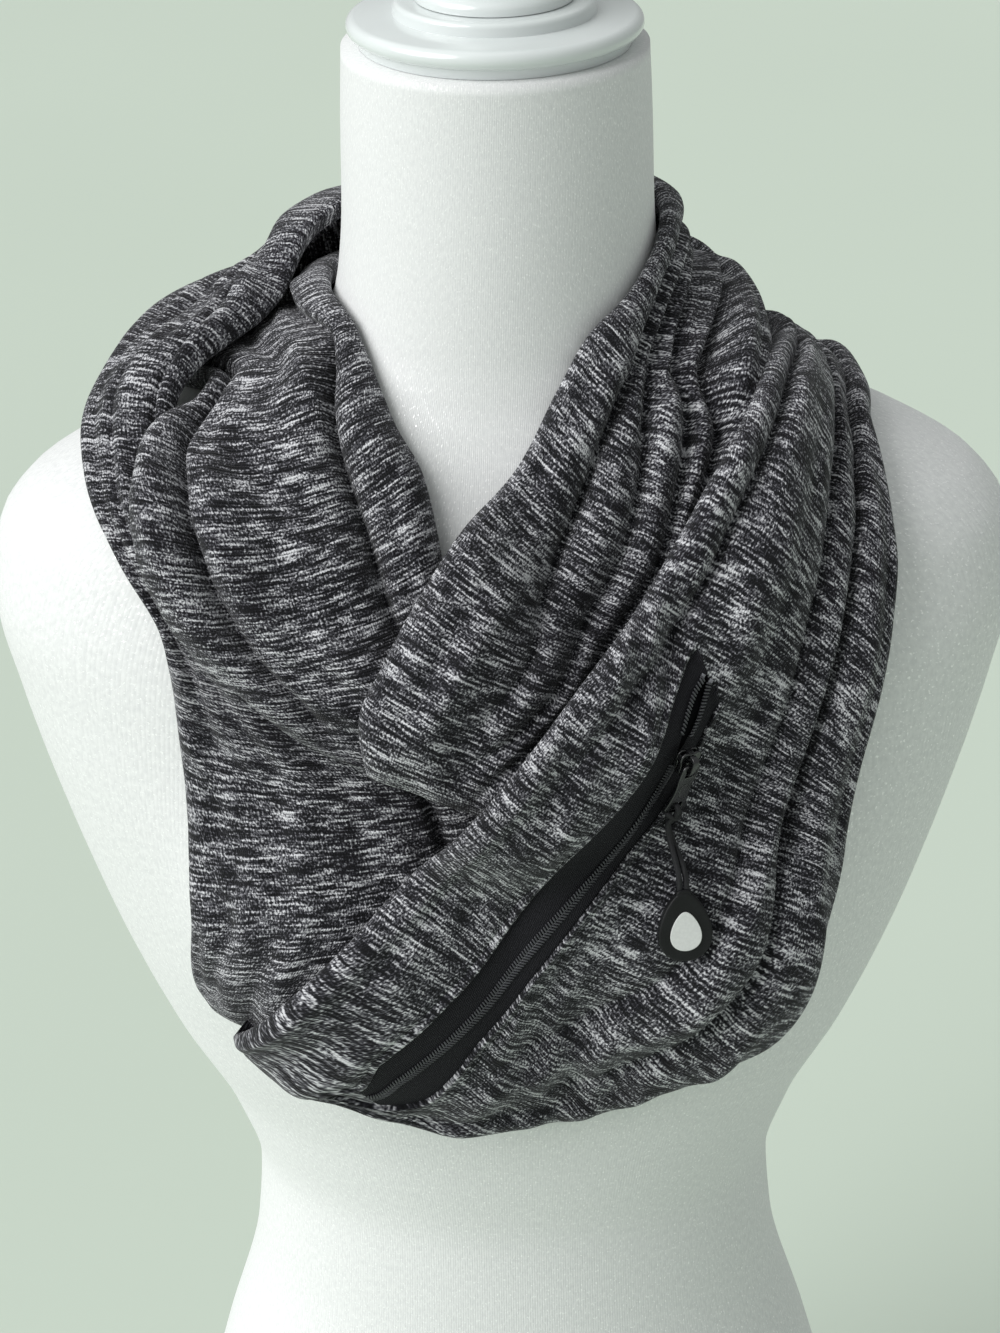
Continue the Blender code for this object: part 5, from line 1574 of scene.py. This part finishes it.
@dataclass
class ZipFastener:
    """The pocket's zip, set into a slit of the right front: tapes, interlocked teeth and slider."""

    run: Run
    pitch: float = 1.25 * MM
    tooth: tuple[float, float, float] = (2.7 * MM, 0.86 * MM, 1.15 * MM)
    tape_lift: float = 0.5 * MM
    teeth_away: float = 1.0 * MM
    mouth: float = 2.6 * MM
    ahead: float = 0.06
    tape_tuck: float = 0.95 * MM
    tape_columns: int = 11
    tooth_lift: float = 0.45 * MM
    closed_share: float = 0.92
    tooth_slant: float = 0.42
    tack: tuple[float, float, float] = (0.9 * MM, 0.24 * MM, 0.42 * MM)

    def line(self, along: float) -> tuple[np.ndarray, np.ndarray]:
        """The tape's left edge, chain and right edge on the cloth, and the way out of it there.

        Args:
            along: the section, whole or in between.

        Returns:
            The three points, and a direction of length one.
        """
        spots = np.array([self.run.surface(along, fraction) for fraction in zip_line(along)])
        ahead = np.array([self.run.surface(along + 0.1, fraction) for fraction in zip_line(along + 0.1)])
        return spots, unit(np.cross(spots[2] - spots[0], ahead[1] - spots[1]))

    def axes(self, along: float, way: int) -> list[np.ndarray]:
        """The chain's point, and the ways ahead along it, across it to one side and out of the cloth.

        Args:
            along: the section, whole or in between.
            way: −1 on the left, 1 on the right.

        Returns:
            The point and the three directions.
        """
        spots, out = self.line(along)
        forward = unit(self.line(along + self.ahead)[0][1] - spots[1])
        return [spots[1], forward, np.cross(forward, out) * way, out]

    def opening(self, along: float) -> float:
        """How far an open row of teeth is from the middle, which it leaves and comes back to."""
        share = (along - SLIDER_SECTION) / (ZIP_UPPER_END - SLIDER_SECTION)
        return self.teeth_away + self.mouth * math.sin(math.pi * min(1.0, max(0.0, share)) ** 0.8)

    def strip(self, name: str, way: int, finish: bpy.types.Material) -> bpy.types.Object:
        """One side's tape, from under the slit's welt to its teeth.

        Args:
            name: the piece's name.
            way: −1 on the left, 1 on the right.
            finish: the tape.

        Returns:
            The piece.
        """
        rows = np.linspace(ZIP_LOWER_END, ZIP_UPPER_END, 150)
        points, uvs, far, before = [], [], 0.0, None
        for along in rows:
            spots, out = self.line(along)
            fractions = zip_line(along)
            chain, edge = fractions[1], fractions[1 + way]
            reach = float(np.linalg.norm(spots[1 + way] - spots[1]))
            held = 0.25 * MM if along < SLIDER_SECTION else self.opening(along) - 0.4 * MM
            far += 0.0 if before is None else float(np.linalg.norm(spots[1] - before))
            before = spots[1]
            for share in np.linspace(min(0.9, held / reach), 1, self.tape_columns):
                lift = self.tape_lift - (self.tape_tuck if share == 1 else 0.0)
                points.append(self.run.surface(along, chain + (edge - chain) * share) + out * lift)
                uvs.append((far, reach * share))
        faces = grid_faces(len(rows), self.tape_columns)
        return add_mesh(name, np.array(points), faces, finish, np.array(uvs))

    def lining(self, finish: bpy.types.Material) -> bpy.types.Object:
        """The pocket's lining seen in the open mouth and behind the teeth, painted near black as the shade
        inside.

        Args:
            finish: the lining's near-black painted shade.

        Returns:
            The piece.
        """
        rows = np.linspace(SLIDER_SECTION - 0.2, ZIP_UPPER_END - 0.02, 24)
        points = []
        for along in rows:
            spots, out = self.line(along)
            right = unit(spots[2] - spots[0])
            wide = self.opening(along) + 0.3 * MM
            points += [spots[1] + right * wide * share + out * 0.12 * MM for share in np.linspace(-1, 1, 5)]
        return add_mesh("mouth_lining_painted_shade", np.array(points), grid_faces(len(rows), 5), finish)

    def teeth(self, name: str, places: Sequence[tuple[float, int]], finish: bpy.types.Material,
              open_row: bool = False) -> bpy.types.Object:
        """Rows of coil teeth.

        Args:
            name: the piece's name.
            places: the section and the side, −1 or 1, of each tooth.
            finish: the coil.
            open_row: whether they stand apart, above the slider.

        Returns:
            The piece.
        """
        rings, sides = 7, 8
        turns = np.linspace(0, 2 * np.pi, sides, endpoint=False)
        long, wide, high = self.tooth
        points, faces = [], []
        for along, way in places:
            chain, forward, across, out = self.axes(along, way)
            apart = self.opening(along) if open_row else self.teeth_away * self.closed_share
            middle = chain + across * apart + out * (self.tape_lift + self.tooth_lift)
            slant = unit(across + forward * self.tooth_slant)
            side = np.cross(out, slant)
            start = len(points)
            for ring in range(rings):
                turn = math.pi * (ring + 0.5) / rings
                end, girth = -math.cos(turn) * long / 2, math.sin(turn) ** 0.55
                for angle in turns:
                    points.append(middle + slant * end + side * math.cos(angle) * wide / 2 * girth
                                  + out * math.sin(angle) * high / 2 * girth)
            faces += ring_faces(rings, sides, start)
        return add_mesh(name, np.array(points), faces, finish)

    def spaced(self, first: float, last: float) -> np.ndarray:
        """Sections one tooth's pitch apart along the chain.

        Args:
            first: the first section.
            last: the last section.

        Returns:
            The sections.
        """
        fine = np.linspace(first, last, 200)
        spots = np.array([self.run.surface(along, zip_line(along)[1]) for along in fine])
        far = np.concatenate([[0], np.cumsum(np.linalg.norm(np.diff(spots, axis=0), axis=1))])
        return np.interp(np.arange(0, far[-1], self.pitch), far, fine)

    def tacks(self, finish: bpy.types.Material) -> bpy.types.Object:
        """The pale thread tacks that stop the two open rows at their top.

        Args:
            finish: the pale thread.

        Returns:
            The piece.
        """
        long, thick, apart = self.tack
        rings, sides = 5, 6
        along = ZIP_UPPER_END - 0.05
        points, faces = [], []
        for way in (-1, 1):
            chain, forward, across, out = self.axes(along, way)
            middle = chain + across * (self.opening(along) + 0.5 * MM) + out * 0.9 * MM
            for turn in range(4):
                faces += ring_faces(rings, sides, len(points), capped=False)
                place = middle + forward * (turn - 1.5) * apart
                for ring in range(rings):
                    bend = math.pi * (ring + 0.5) / rings
                    girth = math.sin(bend) ** 0.5 * thick
                    for angle in np.linspace(0, 2 * np.pi, sides, endpoint=False):
                        points.append(place - across * math.cos(bend) * long
                                      + forward * math.cos(angle) * girth + out * math.sin(angle) * girth)
        return add_mesh("zip_thread_tacks", np.array(points), faces, finish)

    def slider(self, place: Matrix, finish: bpy.types.Material) -> list[bpy.types.Object]:
        """The slider's two plates with its side rims, and the bridge that the pull hangs from.

        Args:
            place: the middle of the CAD slider.
            finish: the black metal.

        Returns:
            The slider and its bridge.
        """
        top, foot, half = 4.5 * MM, 3.3 * MM, 5.0 * MM
        outline = [(-foot, -half), (foot, -half), (foot * 1.06, 0), (top, half * 0.30), (top, half * 0.72),
                   (top * 0.62, half), (0, half * 0.80), (-top * 0.62, half), (-top, half * 0.72),
                   (-top, half * 0.30), (-foot * 1.06, 0)]
        outline = rounded(outline, 2)
        plates = [plate("slider_face", [outline], 1.1 * MM, 0.38 * MM,
                        place @ Matrix.Translation((0, 0, 1.05 * MM)), finish),
                  plate("slider_underside", [outline], 0.9 * MM, 0.3 * MM,
                        place @ Matrix.Translation((0, 0, -1.15 * MM)), finish)]
        rib = [(-0.9 * MM, -half * 0.5), (0.9 * MM, -half * 0.5), (1.3 * MM, half * 0.9),
               (-1.3 * MM, half * 0.9)]
        plates.append(plate("slider_neck", [rib], 2.2 * MM, 0.1 * MM, place, finish))
        right = [(foot * 0.80, -half * 0.95), (foot * 0.99, -half * 0.95), (foot * 1.04, 0),
                 (top * 0.97, half * 0.30), (top * 0.97, half * 0.7), (top * 0.80, half * 0.7),
                 (foot * 0.84, 0)]
        for way in (-1, 1):
            rim = [(way * x, y) for x, y in right]
            plates.append(plate("slider_rim", [rim], 2.6 * MM, 0.12 * MM, place, finish))
        body = joined("slider_body", plates)
        long, slot, wall, low, high = 3.9 * MM, 2.2 * MM, 0.9 * MM, -1.2 * MM, 1.2 * MM
        arch = [(low, -long), (high - 0.5 * MM, -long), (high + wall * 0.8, -long * 0.72),
                (high + wall, -long * 0.4), (high + wall, long * 0.4), (high + wall * 0.8, long * 0.72),
                (high - 0.5 * MM, long), (low, long), (low, slot), (high, slot), (high, -slot), (low, -slot)]
        side = place @ Matrix.Translation((0, 0, 1.6 * MM + 0.3 * MM + 1.2 * MM))
        side = side @ Matrix.Rotation(math.radians(-90), 4, "Y")
        return [body, plate("bridge", [arch], 2.6 * MM, 0.30 * MM, side, finish)]

    def build(self, frame: dict, tape: bpy.types.Material) -> list[bpy.types.Object]:
        """Make the zip.

        Args:
            frame: the loaded frame.
            tape: the woven tape.

        Returns:
            The pieces.
        """
        coil, metal, lining_shade = Dark.COIL.build(), Dark.METAL.build(), Dark.LINING_PAINTED_SHADE.build()
        thread = PaleInlay((0.30, 0.30, 0.33)).build()
        made = []
        for name, way in (("tape_left", -1), ("tape_right", 1)):
            piece = settle(self.strip(name, way, tape), BODY, "zip_tape", "zip_tape")
            made.append(piece)
        # The open mouth's lining, painted near black as the shade inside the pocket.
        made.append(settle(self.lining(lining_shade), BODY, "zip_tape", "zip_tape"))
        closed = self.spaced(ZIP_LOWER_END + 0.02, SLIDER_SECTION - 0.12)
        half_step = (closed[1] - closed[0]) / 2
        pairs = [(along, -1) for along in closed] + [(along + half_step, 1) for along in closed[:-1]]
        made.append(settle(self.teeth("coil_chain", pairs, coil), BODY, "zip_teeth", "zip_chain"))
        free = self.spaced(SLIDER_SECTION + 0.17, ZIP_UPPER_END - 0.07)
        sides = (("open_teeth_left", -1, "zip_teeth_left"), ("open_teeth_right", 1, "zip_teeth_right"))
        for name, way, node in sides:
            row = self.teeth(name, [(along, way) for along in free], coil, open_row=True)
            made.append(settle(row, BODY, "zip_teeth", node))
        made.append(settle(self.tacks(thread), BODY, "zip_tape"))
        across = -Vector(frame["joints"][0]["axis"])
        body, bridge = self.slider(node_frame(frame, "zip_slider", across), metal)
        made.append(settle(body, BODY, "pull_metal", "zip_slider"))
        made.append(settle(bridge, BODY, "pull_metal", "slider_bridge"))
        return made


def joined(name: str, pieces: Sequence[bpy.types.Object]) -> bpy.types.Object:
    """Several pieces as one object.

    Args:
        name: the whole's name.
        pieces: the objects; the first takes up the others.

    Returns:
        The whole.
    """
    bpy.ops.object.select_all(action="DESELECT")
    for piece in pieces:
        piece.select_set(True)
    bpy.context.view_layer.objects.active = pieces[0]
    bpy.ops.object.join()
    pieces[0].name = name
    return pieces[0]


@dataclass
class ZipPull:
    """What hangs from the slider: metal tab, doubled cord, rubber tag and its plain inlay."""

    length: float = 22.0 * MM
    width: float = 7.8 * MM
    end_width: float = 10.2 * MM
    thickness: float = 1.3 * MM
    ring: float = 5.1 * MM
    eye: tuple[float, float] = (4.4 * MM, 3.4 * MM)
    cord: float = 2.2 * MM
    tag: tuple[float, float, float] = (27.0 * MM, 19.0 * MM, 3.6 * MM)
    inlay: tuple[float, float, float] = (15.0 * MM, 11.0 * MM, 0.5 * MM)
    egg_taper: float = 0.30
    knot_half: tuple[float, float] = (2.7 * MM, 2.3 * MM)
    knot_radius: float = 0.95 * MM

    def egg(self, length: float, width: float, count: int = 72) -> list[tuple[float, float]]:
        """An egg: round below, narrower above, its middle at the origin."""
        turns = np.linspace(0, 2 * np.pi, count, endpoint=False)
        return [(width / 2 * math.sin(a) * (1 + self.egg_taper * math.cos(a)), -length / 2 * math.cos(a))
                for a in turns]

    def tab(self, place: Matrix, finish: bpy.types.Material) -> bpy.types.Object:
        """The tab: a waisted plate with a slot for the bridge and an eye for the cord.

        Args:
            place: its frame, the bridge's pin at the origin.
            finish: the black metal.

        Returns:
            The piece.
        """
        bar, side, end = self.thickness / 2, self.width / 2, self.end_width / 2
        half = [(side, bar), (side, -self.ring - 0.6 * MM), (side * 0.78, -self.length * 0.5),
                (end * 0.8, -self.length * 0.82), (end, -self.length * 0.92), (end * 0.7, -self.length)]
        outline = half + [(-x, y) for x, y in reversed(half)]
        slot = [(-1.7 * MM, -self.ring), (1.7 * MM, -self.ring), (1.7 * MM, -bar), (-1.7 * MM, -bar)]
        low = -self.length + 1.2 * MM
        eye = [(-self.eye[0] / 2, low), (self.eye[0] / 2, low), (self.eye[0] / 2, low + self.eye[1]),
               (-self.eye[0] / 2, low + self.eye[1])]
        body = plate("tab_plate", [rounded(outline), slot, rounded(eye, 2)], self.thickness, 0.3 * MM, place,
                     finish)
        long = self.length * 0.30
        panel = rounded([(-1.5 * MM, -long / 2), (1.5 * MM, -long / 2), (1.8 * MM, long / 2),
                         (-1.8 * MM, long / 2)])
        raised = place @ Matrix.Translation((0, -self.length * 0.52, bar))
        return joined("metal_tab", [body, plate("tab_panel", [panel], 0.5 * MM, 0.2 * MM, raised, finish)])

    def knot(self, tab: Matrix, finish: bpy.types.Material) -> bpy.types.Object:
        """The turn of cord that grips the tab's eye: a tilted ring round the two strands.

        Args:
            tab: the tab's frame.
            finish: the braided cord.

        Returns:
            The piece.
        """
        turns = np.linspace(0, 2 * np.pi, 49)
        low = -self.length - 1.3 * MM
        half_x, half_z = self.knot_half
        ring = [tab @ Vector((half_x * math.cos(a),
                              low + 0.9 * MM * math.cos(2 * a) + 0.5 * MM * math.sin(a),
                              half_z * math.sin(a) + 0.2 * MM)) for a in turns]
        return tube("cord_knot", np.array(ring), self.knot_radius, 16, finish)

    def route(self, tab: Matrix, tag: Matrix) -> np.ndarray:
        """The doubled cord's centreline: up from the tag, through the tab's eye and back down.

        Args:
            tab: the tab's frame.
            tag: the tag's frame.

        Returns:
            The points of the centreline.
        """
        middle = -self.length + 1.2 * MM + self.eye[1] / 2
        over = self.thickness / 2 + self.cord / 2 + 0.3 * MM
        top = self.tag[0] / 2 + 0.3 * MM
        hold = self.cord / 2 + 0.15 * MM
        above = [(-0.9 * MM, middle - 9 * MM, over * 0.6), (0.0, middle - 3.4 * MM, over),
                 (0.0, middle - self.cord * 0.5, over + 0.2 * MM), (0.0, middle + 0.1 * MM, over * 0.55)]
        below = [(-x, y, -z) for x, y, z in reversed(above)]
        points = [tag @ Vector((-hold, top - 0.8 * MM, 0)), tag @ Vector((-hold, top + 3 * MM, 0.2 * MM))]
        points += [tab @ Vector(place) for place in above + [(0.0, middle + 0.3 * MM, 0.0)] + below]
        points += [tag @ Vector((hold, top + 3 * MM, -0.2 * MM)), tag @ Vector((hold, top - 0.8 * MM, 0))]
        return smooth_route(points, 300)

    def build(self, frame: dict) -> list[bpy.types.Object]:
        """Make the pull.

        Args:
            frame: the loaded frame.

        Returns:
            The pieces.
        """
        metal, rubber, braid = Dark.METAL.build(), Dark.RUBBER.build(), Dark.CORD.build()
        across = -Vector(frame["joints"][0]["axis"])
        tab = node_frame(frame, "pull_tab", across)
        tab.translation = Vector(frame["joints"][0]["pos_m"])
        tag = node_frame(frame, "pull_tag")
        made = [settle(self.tab(tab, metal), PULL_BODY, "pull_metal", "pull_tab")]

        def braided(turns: np.ndarray, along: float) -> np.ndarray:
            """Two crossing families of strands round the cord."""
            lead = along / (1.15 * MM)
            return 0.10 * MM * (np.maximum(np.sin(4 * turns + lead), np.sin(4 * turns - lead)) - 1.0)

        route = self.route(tab, tag)
        cord = settle(tube("braided_loop", route, self.cord / 2, 24, braid, braided), PULL_BODY, "cord",
                      "pull_cord")
        knot = settle(self.knot(tab, braid), PULL_BODY, "cord")
        length = float(np.linalg.norm(np.diff(route, axis=0), axis=1).sum())
        made += [cord, knot]
        length, width, thick = self.tag
        body = plate("tag_body", [self.egg(length, width)], thick, 0.8 * MM, tag, rubber)
        collar = tag @ Matrix.Translation((0, length / 2 - 0.9 * MM, 0))
        collar_outline = rounded([(-2.9 * MM, -1.5 * MM), (2.9 * MM, -1.5 * MM), (2.6 * MM, 1.6 * MM),
                                  (-2.6 * MM, 1.6 * MM)], 2)
        neck = plate("tag_collar", [collar_outline], 3.4 * MM, 0.6 * MM, collar, rubber)
        made.append(settle(joined("rubber_tag", [body, neck]), PULL_BODY, "tag_rubber", "pull_tag"))
        length, width, thick = self.inlay
        middle = tag @ Matrix.Translation((0, -1.5 * MM, self.tag[2] / 2 + 0.2 * MM + thick / 2))
        inlay = plate("plain_inlay", [self.egg(length, width)], thick + 0.2 * MM, 0.2 * MM, middle,
                      PaleInlay().build())
        made.append(settle(inlay, PULL_BODY, "inlay", "tag_badge"))
        return made


@dataclass
class Studio:
    """Floor, lights, world and the camera of the photograph."""

    camera_place: tuple[float, float, float] = (-0.0022, -1.259, 1.129)
    pitch_down: float = 25.7
    roll: float = -1.0
    lens: float = 97.2
    floor_half: float = 4.0

    def build(self) -> None:
        """Set the stage."""
        scene = bpy.context.scene
        camera = bpy.data.cameras.new("camera")
        camera.lens = self.lens
        camera.sensor_width = 36.0
        camera.sensor_fit = "AUTO"
        camera.clip_start = 0.05
        holder = bpy.data.objects.new("camera", camera)
        look = Matrix.Rotation(math.radians(90 - self.pitch_down), 4, "X")
        turn = Matrix.Rotation(math.radians(self.roll), 4, "Z")
        holder.matrix_world = Matrix.Translation(self.camera_place) @ look @ turn
        scene.collection.objects.link(holder)
        scene.camera = holder
        half = self.floor_half
        steps = np.linspace(-half, half, 9)
        points = np.array([(x, y, 0.0) for y in steps for x in steps])
        floor = add_mesh("floor", points, grid_faces(9, 9), PaleFloor().build())
        floor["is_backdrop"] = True
        self.lamp("key", (-0.78, -0.40, 0.58), 50.0, 2.75)
        self.lamp("window", (-0.45, 0.10, 0.85), 75.0, 0.62)
        world = bpy.data.worlds.new("studio")
        world.use_nodes = True
        world.node_tree.nodes["Background"].inputs["Color"].default_value = (0.96, 1.0, 0.985, 1.0)
        world.node_tree.nodes["Background"].inputs["Strength"].default_value = 0.40
        scene.world = world
        scene.view_settings.view_transform = "Standard"
        scene.view_settings.look = "None"

    @staticmethod
    def lamp(name: str, toward: tuple[float, float, float], spread: float, strength: float) -> None:
        """A broad, even light from far away.

        Args:
            name: the light's name.
            toward: the direction that it stands in.
            spread: how wide it is seen, in degrees.
            strength: its power on a surface that faces it.
        """
        light = bpy.data.lights.new(name, "SUN")
        light.angle = math.radians(spread)
        light.energy = strength
        made = bpy.data.objects.new(name, light)
        made.matrix_world = Vector(toward).to_track_quat("Z", "Y").to_matrix().to_4x4()
        bpy.context.scene.collection.objects.link(made)


def zip_line(along: float) -> np.ndarray:
    """Fractions of the tape's left edge, the chain and the tape's right edge."""
    return curve_through(ZIP[:, 0], ZIP[:, 1:], along)[0]


def report(what: str, pieces: Sequence[bpy.types.Object]) -> None:
    """Log each piece with its triangles."""
    for piece in pieces:
        count = sum(len(polygon.vertices) - 2 for polygon in piece.data.polygons)
        LOG.info("%s: %s, %d triangles", what, piece.name, count)


def corners() -> list[list[float]]:
    """Lowest and highest corner of what shows, as plain lists."""
    return [[float(value) for value in corner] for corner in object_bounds()]


def main() -> None:
    """Build every look in order."""
    logging.basicConfig(level=logging.INFO, format="%(message)s")
    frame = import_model()
    Studio().build()
    form_map = FormMap()
    report("form", DressForm().build(ShimmerCover().build(), GlossPaint().build()))
    scarf = LoopScarf(form_map)
    scarf.lay()
    report("scarf", scarf.build(HeatherJersey().build()))
    report("zip", ZipFastener(scarf.two).build(frame, ZipTape().build()))
    report("pull", ZipPull().build(frame))


if __name__ == "__main__":
    main()
